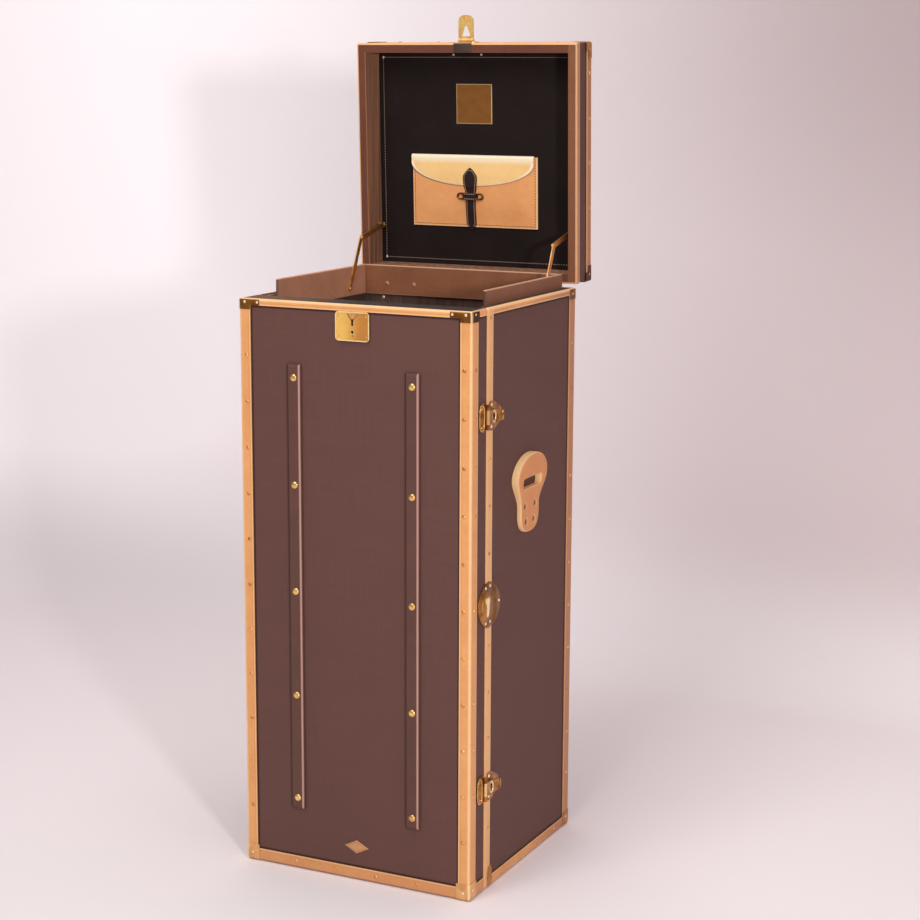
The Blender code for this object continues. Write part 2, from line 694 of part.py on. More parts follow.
def catch_outline(front, level):
    """A shield lying on its side: straight in front, then tapering to the tail, with blunted corners."""
    shoulder = CATCH_HEIGHT / 2
    tail = CATCH_TAIL / 2
    back = front + CATCH_WIDTH
    corners = ((front, -shoulder), (front + CATCH_SHOULDER, -shoulder), (back, -tail),
               (back, tail), (front + CATCH_SHOULDER, shoulder), (front, shoulder))
    outline = []
    for k, corner in enumerate(corners):
        here = Vector(corner)
        for other in (corners[k - 1], corners[(k + 1) % len(corners)]):
            blunt = here + (Vector(other) - here).normalized() * CATCH_ROUND
            outline.append((blunt.x, level + blunt.y))
    return outline


latch_axis = (HALF + LATCH_AXIS_OUT, DOOR_BACK - LATCH_AXIS_FORWARD)
door_seat = CANVAS + SEAT
case_seat = HALF + SEAT
strip_edge = CASE_FRONT + CASE_FRONT_STRIP + SEAT
for name, level in LATCH_HEIGHTS:
    line = carrier(f"{name}_latch_line", (*latch_axis, level), door)
    plate_centre = DOOR_BACK - LATCH_PLATE_WIDTH / 2 - SEAT
    foot = LATCH_LEVER_FOOT / 2
    plate = prism(plate_outline(LATCH_PLATE_WIDTH, LATCH_PLATE_HEIGHT, plate_centre, level, LATCH_SQUARE),
                  door_seat, door_seat + LEAF, "yzx")
    ear = LATCH_PLATE_HEIGHT / 2 * 0.85
    ears = [union(prism(circle(latch_axis, LATCH_BARREL, ROUND_SIDES), level + start, level + stop, "xyz"),
                  block((door_seat + LEAF / 2, latch_axis[1] - LATCH_BARREL * 0.6, level + start + RUNNING),
                        (latch_axis[0], latch_axis[1] + LATCH_BARREL * 0.6, level + stop - RUNNING)))
            for start, stop in ((-ear, -foot - RUNNING), (foot + RUNNING, ear))]
    pin = prism(circle(latch_axis, LATCH_PIN, ROUND_SIDES), level - foot - BARREL,
                level + foot + BARREL, "xyz")
    piece(f"{name}_latch_plate", union(plate, *ears, pin), BRASS, door)

    lever_base = latch_axis[0] + LATCH_LEVER * 0.2
    stations = ((0.0, 1.0, 0.0), (0.35, 1.0, 0.0), (0.75, 0.55, 0.55), (0.93, 0.1, 0.9), (1.0, 0.0, 1.0))
    loops = []
    for along, full, lift in stations:
        y = latch_axis[1] + LATCH_LEVER_LENGTH * along
        half = LATCH_LEVER_TIP / 2 + (LATCH_LEVER_FOOT - LATCH_LEVER_TIP) / 2 * full
        x = lever_base + LATCH_LEVER_LIFT * lift
        loops.append([(x, y, level - half), (x + LATCH_LEVER, y, level - half),
                      (x + LATCH_LEVER, y, level + half), (x, y, level + half)])
    lever = union(loft(loops), prism(circle(latch_axis, LATCH_BARREL, ROUND_SIDES),
                                     level - foot + RUNNING, level + foot - RUNNING, "xyz"))
    bore = prism(circle(latch_axis, LATCH_PIN + RUNNING, ROUND_SIDES),
                 level - LATCH_LEVER_FOOT, level + LATCH_LEVER_FOOT, "xyz")
    piece(f"{name}_latch_lever", cut(lever, bore), BRASS, line)

    catch_front = CASE_FRONT + LATCH_AXIS_FORWARD
    catch = cut(prism(catch_outline(catch_front, level), door_seat, case_seat + LEAF, "yzx"),
                block((CANVAS - SPARE, FRONT, level - CATCH_HEIGHT),
                      (case_seat, strip_edge, level + CATCH_HEIGHT)))
    stud = prism(circle((catch_front + CATCH_WIDTH / 2, level), CATCH_STUD_RADIUS, ROUND_SIDES),
                 case_seat + LEAF / 2, case_seat + LEAF + CATCH_STUD, "yzx")
    piece(f"{name}_latch_catch", union(catch, stud), BRASS)


# Centre lock: a pointed oval with a raised dome, split at the joint between door and case

def lock_oval(packing):
    """The whole oval on the right side, its back lowered by the packing."""
    centre = DOOR_BACK - LOCK_OVAL_FORWARD + LOCK_OVAL_WIDTH / 2
    steps = ((1.0, -packing), (1.0, LEAF * 0.7), (0.95, LEAF), (0.70, LEAF * 1.1),
             (0.62, LOCK_DOME * 0.55), (0.45, LOCK_DOME * 0.85), (0.24, LOCK_DOME))
    loops = []
    for scale, rise in steps:
        outline = plate_outline(LOCK_OVAL_WIDTH * scale, LOCK_OVAL_HEIGHT * scale, centre, LOCK_CENTRE_HEIGHT,
                                LOCK_OVAL_POINT)
        loops.append([(case_seat + rise, y, z) for y, z in outline])
    return loft(loops)


lock_reach = (HALF + SPARE * 3, LOCK_CENTRE_HEIGHT + LOCK_OVAL_HEIGHT)
lock_floor = LOCK_CENTRE_HEIGHT - LOCK_OVAL_HEIGHT
piece("centre_lock_case", cut(
    lock_oval(BINDING),
    block((HALF - SPARE, FRONT - SPARE, lock_floor), (lock_reach[0], CASE_FRONT + SEAT, lock_reach[1])),
    block((HALF - SPARE, CASE_FRONT - SPARE, lock_floor), (case_seat, strip_edge, lock_reach[1]))), BRASS)
piece("centre_lock_keeper", cut(lock_oval(BINDING), block((HALF - SPARE, DOOR_BACK - SEAT, lock_floor),
                                                          (lock_reach[0], BACK, lock_reach[1]))), BRASS, door)

# Lid: frame, top board, bindings, caps and lining

lid_low = Vector((-HALF, FRONT, LID_RIM))
lid_high = Vector((HALF, BACK, LID_TOP))
lid_corners = ((-HALF, FRONT), (HALF, BACK))
board_low = LID_TOP - SKIN - LID_BOARD
lining_high = board_low - SEAT
lining_low = lining_high - LINING
rail = [(SKIN, LID_RIM + SKIN), (WALL, LID_RIM + SKIN), (WALL, board_low - SEAT), (SKIN, board_low - SEAT)]
piece("lid_frame", mitred_frame(rail, lid_corners, "xyz"), CANVAS_CLOTH, lid)
piece("lid_top_panel", block((-CANVAS, FRONT + SKIN, board_low), (CANVAS, BACK - SKIN, LID_TOP - SKIN)),
      CANVAS_CLOTH, lid)
beyond_low = lid_low - Vector((SPARE,) * 3)
beyond_high = lid_high + Vector((SPARE,) * 3)
piece("lid_top_binding", shell(
    lid_low, lid_high,
    (beyond_low, (beyond_high.x, beyond_high.y, LID_TOP - LID_EDGE_STRIP)),
    ((-HALF + LID_EDGE_STRIP, FRONT + LID_EDGE_STRIP, LID_TOP - SPARE),
     (HALF - LID_EDGE_STRIP, BACK - LID_EDGE_STRIP, LID_TOP + SPARE))), TAN_LEATHER, lid)
piece("lid_rim_binding", shell(
    lid_low, lid_high,
    ((beyond_low.x, beyond_low.y, LID_RIM + RIM_STRIP), beyond_high),
    ((-INNER, FRONT + WALL, LID_RIM - SPARE), (INNER, BACK - WALL, LID_RIM + SPARE))), TAN_LEATHER, lid)
for side, name in ((-1, "left"), (1, "right")):
    for end, label in ((-1, "front"), (1, "back")):
        cap = corner_cap(lid_low, lid_high, (side, end, 1), LID_CAP, LID_CAP_STRAP)
        piece(f"lid_{name}_{label}_cap", cap, BRASS, lid)
piece("lid_lining", block((-INNER + SEAT, FRONT + WALL + SEAT, lining_low),
                          (INNER - SEAT, BACK - WALL - SEAT, lining_high)), BLACK_LEATHER, lid)

# Pocket on the lining: body, flap with a curved lower edge, and pointed strap

pocket_low = lining_low - SEAT - POCKET_THICKNESS
pocket_far = LID_AXIS.y - POCKET_FORWARD
pocket_near = pocket_far - POCKET_HEIGHT
piece("pocket_body", block((LINING_OFFSET - POCKET_WIDTH / 2, pocket_near, pocket_low),
                           (LINING_OFFSET + POCKET_WIDTH / 2, pocket_far, pocket_low + POCKET_THICKNESS),
                           POCKET_ROUND), TAN_LEATHER, lid)
flap_half = POCKET_WIDTH / 2 + FLAP_OVERHANG
flap_edge = [(LINING_OFFSET + flap_half * math.cos(a), pocket_near + FLAP_SIDE + FLAP_DIP * math.sin(a))
             for a in (math.radians(180 * k / FINE_SIDES) for k in range(FINE_SIDES + 1))]
flap_outline = [(LINING_OFFSET - flap_half, pocket_near - FLAP_OVERHANG),
                (LINING_OFFSET + flap_half, pocket_near - FLAP_OVERHANG)] + flap_edge
flap_high = pocket_low - SEAT
piece("pocket_flap", prism(flap_outline, flap_high - FLAP_THICKNESS, flap_high, "xyz"), TAN_LEATHER, lid)
strap_far = LID_AXIS.y - STRAP_START
strap_near = strap_far - STRAP_LENGTH
shoulder = strap_near + STRAP_WIDTH * 0.7
strap_outline = [(LINING_OFFSET, strap_near), (LINING_OFFSET + STRAP_WIDTH / 2, shoulder),
                 (LINING_OFFSET + STRAP_TAIL / 2, shoulder + STRAP_WIDTH),
                 (LINING_OFFSET + STRAP_TAIL / 2, strap_far - STRAP_TAIL / 2), (LINING_OFFSET, strap_far),
                 (LINING_OFFSET - STRAP_TAIL / 2, strap_far - STRAP_TAIL / 2),
                 (LINING_OFFSET - STRAP_TAIL / 2, shoulder + STRAP_WIDTH),
                 (LINING_OFFSET - STRAP_WIDTH / 2, shoulder)]
strap_high = flap_high - FLAP_THICKNESS - SEAT
strap = prism(strap_outline, strap_high - STRAP_THICKNESS, strap_high, "xyz")
piece("pocket_strap", strap, BROWN_LEATHER, lid)

# Hasp: a plate with two ears on the lid's front, and the windowed hasp that stands out from it

hasp_line = carrier("hasp_line", hasp_pivot, lid)
ear_out = HASP_WIDTH / 2
ear_in = ear_out * 0.6
hasp_seat = FRONT - SEAT
hinge_circle = (hasp_pivot.y, hasp_pivot.z)
hasp_ears = []
for side in (-1, 1):
    start, stop = sorted((side * ear_in, side * ear_out))
    neck = HASP_BARREL / 2
    hasp_ears += [prism(circle(hinge_circle, HASP_BARREL, ROUND_SIDES), start, stop, "yzx"),
                  block((start + RUNNING, hasp_pivot.y, hasp_pivot.z - neck),
                        (stop - RUNNING, hasp_seat - LEAF / 2, hasp_pivot.z + neck))]
hasp_back = prism(rounded_rectangle((0, hasp_pivot.z + HASP_PLATE_RISE / 2 - HASP_BARREL),
                                    HASP_WIDTH + LOCK_RIM, HASP_PLATE_RISE, LOCK_RIM),
                  hasp_seat - LEAF, hasp_seat, "xzy")
relief = block((-ear_in + RUNNING, hasp_seat - LEAF - SPARE, hasp_pivot.z - HASP_BARREL - RUNNING),
               (ear_in - RUNNING, hasp_seat - LEAF * 0.4, hasp_pivot.z + HASP_BARREL + RUNNING))
hasp_pin = prism(circle(hinge_circle, HASP_PIN, ROUND_SIDES), -ear_out + RUNNING, ear_out - RUNNING, "yzx")
piece("hasp_plate", union(cut(hasp_back, relief), *hasp_ears, hasp_pin), BRASS, lid)

hasp_side = ear_in - RUNNING
ear_clear = HASP_BARREL + 2 * RUNNING
shoulder_in = ear_out - HASP_CORNER
shoulder_out = HASP_LENGTH - HASP_CORNER
hasp_outline = ([(hasp_side, 0), (hasp_side, ear_clear), (ear_out, ear_clear)]
                + arc((shoulder_in, shoulder_out), HASP_CORNER, 0, 90, 6)
                + arc((-shoulder_in, shoulder_out), HASP_CORNER, 90, 180, 6)
                + [(-ear_out, ear_clear), (-hasp_side, ear_clear), (-hasp_side, 0)])
half_thick = HASP_THICKNESS / 2
window = [(-WINDOW_WIDTH / 2, WINDOW_START), (WINDOW_WIDTH / 2, WINDOW_START),
          (WINDOW_WIDTH * 0.16, WINDOW_START + WINDOW_LENGTH * 0.86), (0, WINDOW_START + WINDOW_LENGTH),
          (-WINDOW_WIDTH * 0.16, WINDOW_START + WINDOW_LENGTH * 0.86)]
hasp_sheet = prism([(x, hasp_pivot.y - out) for x, out in hasp_outline],
                   hasp_pivot.z - half_thick, hasp_pivot.z + half_thick, "xyz")
hasp_window = prism([(x, hasp_pivot.y - out) for x, out in window],
                    hasp_pivot.z - SPARE, hasp_pivot.z + SPARE, "xyz")
hasp_barrel = prism(circle(hinge_circle, HASP_BARREL, ROUND_SIDES), -hasp_side, hasp_side, "yzx")
hasp_bore = prism(circle(hinge_circle, HASP_PIN + RUNNING, ROUND_SIDES), -ear_out, ear_out, "yzx")
staple_out = hasp_pivot.z - staple_height
staple_middle = hasp_pivot.y - staple_out
staple = block((-STAPLE[0] / 2, staple_middle - STAPLE[1] / 2, hasp_pivot.z - half_thick - STAPLE[2]),
               (STAPLE[0] / 2, staple_middle + STAPLE[1] / 2, hasp_pivot.z))
piece("hasp", cut(union(cut(hasp_sheet, hasp_window), hasp_barrel, staple), hasp_bore), BRASS, hasp_line)

# Lid stays: two flat links a side, lower on the collar, upper on the lid wall, pinned at the elbow

case_pivot = Vector((0, LID_AXIS.y - STAY_CASE_FORWARD, HEIGHT - STAY_CASE_DROP))
elbow = Vector((0, LID_AXIS.y - STAY_ELBOW_FORWARD, HEIGHT + STAY_ELBOW_RISE))
lid_pivot = Vector((0, LID_AXIS.y - STAY_LID_FORWARD, HEIGHT + STAY_LID_RISE))
opened = LID_AXIS + Matrix.Rotation(-LID_OPENING, 3, 'X') @ (lid_pivot - LID_AXIS)
lower_arm = elbow - case_pivot
upper_arm = elbow - opened
lower_turn = math.atan2(lower_arm.z, lower_arm.y)
upper_turn = math.atan2(upper_arm.z, upper_arm.y) + LID_OPENING
lower_inner = COLLAR_INNER - SEAT - STAY_BAR
upper_outer = lower_inner - SEAT
upper_inner = upper_outer - STAY_BAR
for side, name in ((-1, "left"), (1, "right")):
    lower = carrier(f"{name}_stay_lower_line", case_pivot, turn=lower_turn)
    bar = [(case_pivot.y + y, case_pivot.z + z) for y, z in stadium(0, lower_arm.length, STAY_WIDTH)]
    pin_place = (case_pivot.y + lower_arm.length, case_pivot.z)
    bar = prism(bar, *sorted((side * lower_inner, side * (COLLAR_INNER - SEAT))), "yzx")
    elbow_pin = prism(circle(pin_place, ELBOW_PIN, ROUND_SIDES),
                      *sorted((side * (lower_inner + STAY_BAR / 2), side * (upper_inner - SEAT))), "yzx")
    piece(f"{name}_stay_lower", union(bar, elbow_pin), BRASS, lower)

    upper = carrier(f"{name}_stay_upper_line", lid_pivot, lid, turn=upper_turn)
    bar = [(lid_pivot.y + y, lid_pivot.z + z) for y, z in stadium(0, upper_arm.length, STAY_WIDTH)]
    eye_place = (lid_pivot.y + upper_arm.length, lid_pivot.z)
    bar = prism(bar, *sorted((side * upper_inner, side * upper_outer)), "yzx")
    eye = prism(circle(eye_place, ELBOW_EYE, ROUND_SIDES),
                *sorted((side * (upper_inner - SPARE), side * INNER)), "yzx")
    boss = prism(circle((lid_pivot.y, lid_pivot.z), STAY_BOSS, ROUND_SIDES),
                 *sorted((side * (upper_inner + STAY_BAR / 2), side * (INNER - SEAT))), "yzx")
    piece(f"{name}_stay_upper", union(cut(bar, eye), boss), BRASS, upper)
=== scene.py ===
"""Bar trunk, dressed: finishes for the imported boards, bindings and brass, and the nails, rivets,
stitches and leather pieces that are fixed to them.

Metres, +Z up, the door faces -Y, and the lid stands open as at rest.
"""
import json
import math

import bmesh
import bpy
import numpy as np
from mathutils import Matrix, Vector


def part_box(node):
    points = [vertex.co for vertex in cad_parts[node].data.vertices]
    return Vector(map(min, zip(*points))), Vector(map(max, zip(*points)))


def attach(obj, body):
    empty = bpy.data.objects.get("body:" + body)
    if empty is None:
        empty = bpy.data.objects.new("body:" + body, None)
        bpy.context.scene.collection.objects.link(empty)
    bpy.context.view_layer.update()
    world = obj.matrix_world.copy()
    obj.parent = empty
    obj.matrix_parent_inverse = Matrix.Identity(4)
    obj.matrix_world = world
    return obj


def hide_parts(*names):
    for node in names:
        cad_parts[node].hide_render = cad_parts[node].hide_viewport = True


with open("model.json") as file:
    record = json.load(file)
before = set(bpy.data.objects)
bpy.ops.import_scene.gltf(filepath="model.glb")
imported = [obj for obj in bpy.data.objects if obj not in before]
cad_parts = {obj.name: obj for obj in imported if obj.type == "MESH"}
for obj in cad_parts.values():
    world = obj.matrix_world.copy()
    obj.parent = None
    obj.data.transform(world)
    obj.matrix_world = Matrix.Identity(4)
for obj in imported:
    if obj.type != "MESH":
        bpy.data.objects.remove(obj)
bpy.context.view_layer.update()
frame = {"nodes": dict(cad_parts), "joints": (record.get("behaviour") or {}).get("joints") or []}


# Case boards: thin ply sides, back and base. Brown canvas is glued flat over the outside and a
# dark cloth over the inside, and the leather bindings are nailed on over the edges.

WALL_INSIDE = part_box("right_side_panel")[0].x
BACK_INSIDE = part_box("back_panel")[0].y
binding_low, binding_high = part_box("case_binding")
HALF = binding_high.x
CASE_FRONT = binding_low.y
BACK = binding_high.y
HEIGHT = binding_high.z
STRIP = 0.030
FRONT_STRIP = 0.023
BASE_STRIP = 0.020
RIM_STRIP = 0.013
YARN = 0.0014
YARN_RISE = 0.00016
SHADED = 0.0060


class Value:
    """A shader socket that sums are written with: each operator adds a Math node."""

    def __init__(self, tree, socket):
        self.tree = tree
        self.socket = socket

    def node(self, kind, settings=None, sockets=None, output=0):
        """A new node of that kind: its settings first, then a value or a link for each socket."""
        made = self.tree.nodes.new(kind)
        for name, setting in (settings or {}).items():
            setattr(made, name, setting)
        for key, value in (sockets or {}).items():
            if isinstance(value, Value):
                self.tree.links.new(value.socket, made.inputs[key])
            else:
                made.inputs[key].default_value = value
        return Value(self.tree, made.outputs[output]) if made.outputs else None

    def math(self, operation, *others):
        """The Math node of that operation on this value and the others."""
        return self.node("ShaderNodeMath", {"operation": operation}, dict(enumerate((self, *others))))

    def split(self):
        """The three parts of a vector."""
        parts = self.node("ShaderNodeSeparateXYZ", sockets={0: self}).socket.node.outputs
        return [Value(self.tree, part) for part in parts]

    def __add__(self, other):
        return self.math("ADD", other)

    __radd__ = __add__

    def __sub__(self, other):
        return self.math("SUBTRACT", other)

    def __rsub__(self, other):
        return self.node("ShaderNodeMath", {"operation": "SUBTRACT"}, {0: other, 1: self})

    def __mul__(self, other):
        return self.math("MULTIPLY", other)

    __rmul__ = __mul__

    def __truediv__(self, other):
        return self.math("DIVIDE", other)

    def __abs__(self):
        return self.math("ABSOLUTE")


def shade(red, green, blue):
    """A colour as it is seen, 0 to 255, turned into the shader's linear scale."""
    seen = np.array((red, green, blue)) / 255
    linear = np.where(seen > 0.04045, ((seen + 0.055) / 1.055) ** 2.4, seen / 12.92)
    return (*map(float, linear), 1.0)


def begin(name):
    """A bare material, and the place on the piece that its pattern is worked out from."""
    material = bpy.data.materials.new(name)
    material.use_nodes = True
    material.node_tree.nodes.clear()
    place = Value(material.node_tree, None).node("ShaderNodeTexCoord", output="Object")
    return material, place


def complete(place, colour, roughness, height, fixed=None):
    """Joins a worked-out colour, roughness and height in metres to the material's shader."""
    normal = place.node("ShaderNodeBump", sockets={"Distance": 1.0, "Height": height}, output="Normal")
    sockets = {"Base Color": colour, "Roughness": roughness, "Normal": normal, **(fixed or {})}
    shader = place.node("ShaderNodeBsdfPrincipled", sockets=sockets)
    place.node("ShaderNodeOutputMaterial", sockets={"Surface": shader})


def step(value, low, high):
    """0 below low, 1 above high, and a smooth rise between them."""
    return value.node("ShaderNodeMapRange", {"interpolation_type": "SMOOTHSTEP"}, {0: value, 1: low, 2: high})


def fall(value, low, high):
    """1 below low, 0 above high, and a smooth fall between them."""
    return 1 - step(value, low, high)


def tint(share, *colours):
    """The first colour where share is 0, the second where it is 1. A plain colour is given as seen."""
    first, second = (colour if isinstance(colour, Value) else shade(*colour) for colour in colours)
    return share.node("ShaderNodeMix", {"data_type": "RGBA"}, {0: share, 6: first, 7: second}, 2)


def cloud(place, size, detail=3.0, stretch=(1.0, 1.0, 1.0)):
    """Soft noise from 0 to 1 in patches of about that size, drawn out where stretch is below 1."""
    spread = place.node("ShaderNodeMapping", sockets={"Vector": place, "Scale": stretch})
    return place.node("ShaderNodeTexNoise", sockets={"Vector": spread, "Scale": 1 / size, "Detail": detail})


def dress(material, *names):
    """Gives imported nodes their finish."""
    for name in names:
        for held in frame["nodes"][name].material_slots:
            held.material = material


def outside(a, a_low, a_high, b, b_low, b_high):
    """How far a point lies outside the window that strips leave open, along the nearer side."""
    return (a_low - a).math("MAXIMUM", a - a_high).math("MAXIMUM", b_low - b).math("MAXIMUM", b - b_high)


def canvas_finish(name, lined, bound, cloth_pale=(92, 64, 54), cloth_deep=(58, 40, 35)):
    """Plain weave: warp and weft rise as half sine waves and take turns on top, cell by cell.
    From the place, lined tells where the inner covering shows instead, in its own two tones, and
    bound how far a point lies under the bindings, beside whose edges a dark line of painted shade
    is laid on the cloth."""
    material, place = begin(name)
    x, y, z = place.split()
    upright = place.node("ShaderNodeTexCoord", output="Normal").split()[2]
    level = step(abs(upright), 0.6, 0.8)
    across = (x + y * (1 - level)) / YARN
    along = (z + (y - z) * level) / YARN
    turn = (across.math("FLOOR") + along.math("FLOOR")).math("FLOORED_MODULO", 2.0)
    warp = abs((across * math.pi).math("SINE"))
    weft = abs((along * math.pi).math("SINE"))
    yarn = warp + (weft - warp) * turn
    slubs = cloud(place, 0.006, stretch=(1.0, 1.0, 0.08)) + cloud(place, 0.006, stretch=(0.06, 0.06, 1.0))
    wear = cloud(place, 0.16)
    inside = lined(place)
    outer = tint(yarn * 0.45 + slubs * 0.22 + wear * 0.20, (75, 44, 38), (108, 69, 61))
    # Painted shade: the cloth darkens in a narrow line along each strip's edge.
    outer = tint(step(bound(place), -SHADED, -SHADED * 0.4), outer, (54, 24, 17))
    # Upright streaks in the inner cloth, partly folds and partly painted sheen.
    upright_streaks = step(cloud(place, 0.010, stretch=(1.0, 1.0, 0.02)), 0.34, 0.66)
    inner = tint(wear * 0.3 + upright_streaks * 0.5 + yarn * 0.2, cloth_deep, cloth_pale)
    roughness = 0.86 - yarn * 0.10
    complete(place, tint(inside, outer, inner), roughness, yarn * YARN_RISE + slubs * (YARN_RISE / 3))
    return material


def case_lined(place):
    """The faces that look into the case."""
    x, y, z = place.split()
    return fall(abs(x), WALL_INSIDE + 0.0001, WALL_INSIDE + 0.0003) * \
        fall(y, BACK_INSIDE + 0.0001, BACK_INSIDE + 0.0003) * step(z, 0.010, 0.012)


def case_windows(place):
    """How far a point lies outside the window in a side's strips, and outside that in the back's."""
    x, y, z = place.split()
    low = binding_low.z + BASE_STRIP
    high = HEIGHT - RIM_STRIP
    return (outside(y, CASE_FRONT + FRONT_STRIP, BACK - STRIP, z, low, high),
            outside(x, -HALF + STRIP, HALF - STRIP, z, low, high))


def case_bound(place):
    """How far a point of the case lies under the strips."""
    side, back = case_windows(place)
    return side + (back - side) * step(place.split()[1], BACK - 0.004, BACK - 0.003)


case_canvas = canvas_finish("case_canvas", case_lined, case_bound)
dress(case_canvas, "left_side_panel", "right_side_panel", "back_panel", "base_panel")


# Inner boards: two shelves, the floor of the top well and its front board, ply covered in
# brown leather, let into the sides.

def leather(place, pale, deep, grain):
    """Colour and height of dyed leather: soft clouds between two tones, and pebbles parted by creases."""
    clouds = cloud(place, 0.070)
    mottle = cloud(place, 0.009)
    edges = place.node("ShaderNodeTexVoronoi", {"feature": "DISTANCE_TO_EDGE"},
                       {"Vector": place, "Scale": 1 / grain})
    pebble = step(edges, 0.0, 0.25)
    tone = tint(clouds * 0.7 + mottle * 0.35 + pebble * 0.18 - 0.12, deep, pale)
    return tone, pebble * (grain * 0.06) + mottle * 0.0002


def laid_on(place, tone, marks):
    """The tone with marks laid on in turn. marks gives, from the place, a share and a colour of each."""
    for share, colour in marks(place) if marks else ():
        tone = tint(share, tone, colour)
    return tone


def leather_finish(name, pale, deep, grain, rough, marks=None, fixed=None):
    """Dyed leather between two tones. rough is its least roughness, what clouds add to that and how
    large they are."""
    material, place = begin(name)
    tone, height = leather(place, pale, deep, grain)
    least, more, patches = rough
    complete(place, laid_on(place, tone, marks), least + cloud(place, patches) * more, height, fixed)
    return material


BROWN = {"grain": 0.0016, "rough": (0.46, 0.20, 0.03)}
board_leather = leather_finish("board_leather", (142, 94, 70), (94, 60, 44), **BROWN)
dress(board_leather, "shelf_1", "shelf_2", "well_floor", "well_front")


# Collar: three thin boards covered in brown leather, glued inside the mouth of the case.
# The lid closes over them. Their top edges carry a painted highlight, their front ends painted
# shade, and the left board a paler, lit copy of the leather as painted light.

collar_low, collar_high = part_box("left_collar")


def collar_highlight_and_shade(place):
    """A painted highlight along the top edge and a pale line along the bottom edge of the collar, and
    painted shade on its front ends.
    """
    _, y, z = place.split()
    top = step(z, collar_high.z - 0.0030, collar_high.z - 0.0008)
    foot = fall(z, collar_low.z + 0.0010, collar_low.z + 0.0026)
    ends = fall(y, collar_low.y + 0.0008, collar_low.y + 0.0024) * (1 - top)
    return ((top + foot) * 0.6, (226, 178, 146)), (ends * 0.7, (66, 46, 38))


# Painted light: the left board's paler tones are a lit copy of the collar's leather.
lit_collar_leather = leather_finish("left_collar_leather", (214, 150, 118), (158, 106, 82), marks=collar_highlight_and_shade,
                               **BROWN)
collar_leather = leather_finish("collar_leather", (156, 96, 62), (106, 64, 40), marks=collar_highlight_and_shade, **BROWN)
dress(lit_collar_leather, "left_collar")
dress(collar_leather, "right_collar", "back_collar")


# Case binding: strips of natural tan leather folded over the edges of the boards, with a crease
# pressed along each cut edge. The rim turns in over the wall, where a brown facing covers it.

RIM_TAN = 0.005
FACE = 0.0006
BEND_WEAR_AND_HIGHLIGHT = (0.0030, 0.0056)
TAN = (242, 178, 112)
TAN_PALE = (253, 210, 156)
TAN_DEEP = (208, 134, 78)
TAN_SOILED = (172, 112, 78)


def near(value, level):
    """1 on the outer face at that level of a coordinate."""
    return step(value, level - 2 * FACE, level - FACE)


def corner(first, second):
    """1 on the bend between two faces, given how far a point lies in from each of them."""
    return fall(first, *BEND_WEAR_AND_HIGHLIGHT) * fall(second, *BEND_WEAR_AND_HIGHLIGHT)


def binding_finish(name, strips, facing_pale=(74, 48, 40), facing_deep=(52, 33, 27)):
    """Tan strip leather. strips gives, from the place, how far each point lies in from the strip's
    cut edge, where a brown facing covers it, where a bend is laid pale, as wear and as a painted
    highlight, and where it takes a darker tone."""
    material, place = begin(name)
    tone, height = leather(place, TAN, TAN_DEEP, 0.0011)
    edge, facing, bend_wear_and_highlight, soiled = strips(place)
    cut = fall(edge, 0.0008, 0.0030)
    crease = fall(abs(edge - 0.0044), 0.0004, 0.0012)
    tone = tint(soiled, tone, TAN_SOILED)
    # Wear and painted highlight: the rounded bends are laid pale.
    tone = tint(bend_wear_and_highlight * (0.45 + cloud(place, 0.012) * 0.4), tone, TAN_PALE)
    tone = tint(cut * 0.5, tone, TAN_PALE)
    tone = tint(crease * 0.45, tone, TAN_DEEP)
    brown, brown_height = leather(place, facing_pale, facing_deep, 0.0014)
    tone = tint(facing, tone, brown)
    height = height + (brown_height - height) * facing - crease * 0.00018
    complete(place, tone, 0.40 + cloud(place, 0.02) * 0.18 + facing * 0.35, height)
    return material


def case_strips(place):
    """Windows in the sides and the back, and the facing on the rim. The front strip is paler, and the
    rear darker."""
    x, y, z = place.split()
    on_side = near(abs(x), HALF)
    on_back = near(y, BACK)
    on_rim = near(z, HEIGHT)
    side_edge, back_edge = case_windows(place)
    edge = 1 + (side_edge - 1) * on_side + (back_edge - 1) * on_back
    reach = (HALF - abs(x)).math("MINIMUM", BACK - y)
    facing = on_rim * step(reach, RIM_TAN, RIM_TAN + 0.0015)
    paler_front = fall(y, CASE_FRONT + FRONT_STRIP, CASE_FRONT + FRONT_STRIP * 1.2)
    bend_wear_and_highlight = corner(reach, HEIGHT - z).math("MAXIMUM", paler_front * 0.5)
    return edge, facing, bend_wear_and_highlight, step(y, 0.0, BACK - STRIP) * 0.8


dress(binding_finish("case_binding_leather", case_strips), "case_binding")


# Corner caps: stamped brass sheet over the corners of the binding, each held by small nails. Those
# at the top are painted dark as a reflection, and those at the foot are paler.

# Tones laid on brass: a pale one for rubbing and painted highlights, a dark one for painted shade.
BRASS_RUB_AND_HIGHLIGHT = (255, 226, 166)
BRASS_SHADE = (70, 32, 20)


def brass_finish(name, bright, dull, polish, cloudy=1.0, metal=1.0, marks=None):
    """Polished sheet brass: clouds of tarnish between two tones, and fine rubbing scratches. Lacquer
    takes metal below one. marks is as for leather."""
    material, place = begin(name)
    tarnish = cloud(place, 0.018)
    specks = cloud(place, 0.0022)
    scratches = cloud(place, 0.0016, stretch=(1.0, 0.05, 0.6))
    tone = tint(step(tarnish * 0.7 + specks * 0.3, 0.38, 0.68) * cloudy, bright, dull)
    roughness = polish + tarnish * 0.14 + scratches * 0.10
    complete(place, laid_on(place, tone, marks), roughness, tarnish * 0.00004 + scratches * 0.000012,
             {"Metallic": metal})
    return material


CAP_TONES = ((164, 106, 52), (116, 70, 32))
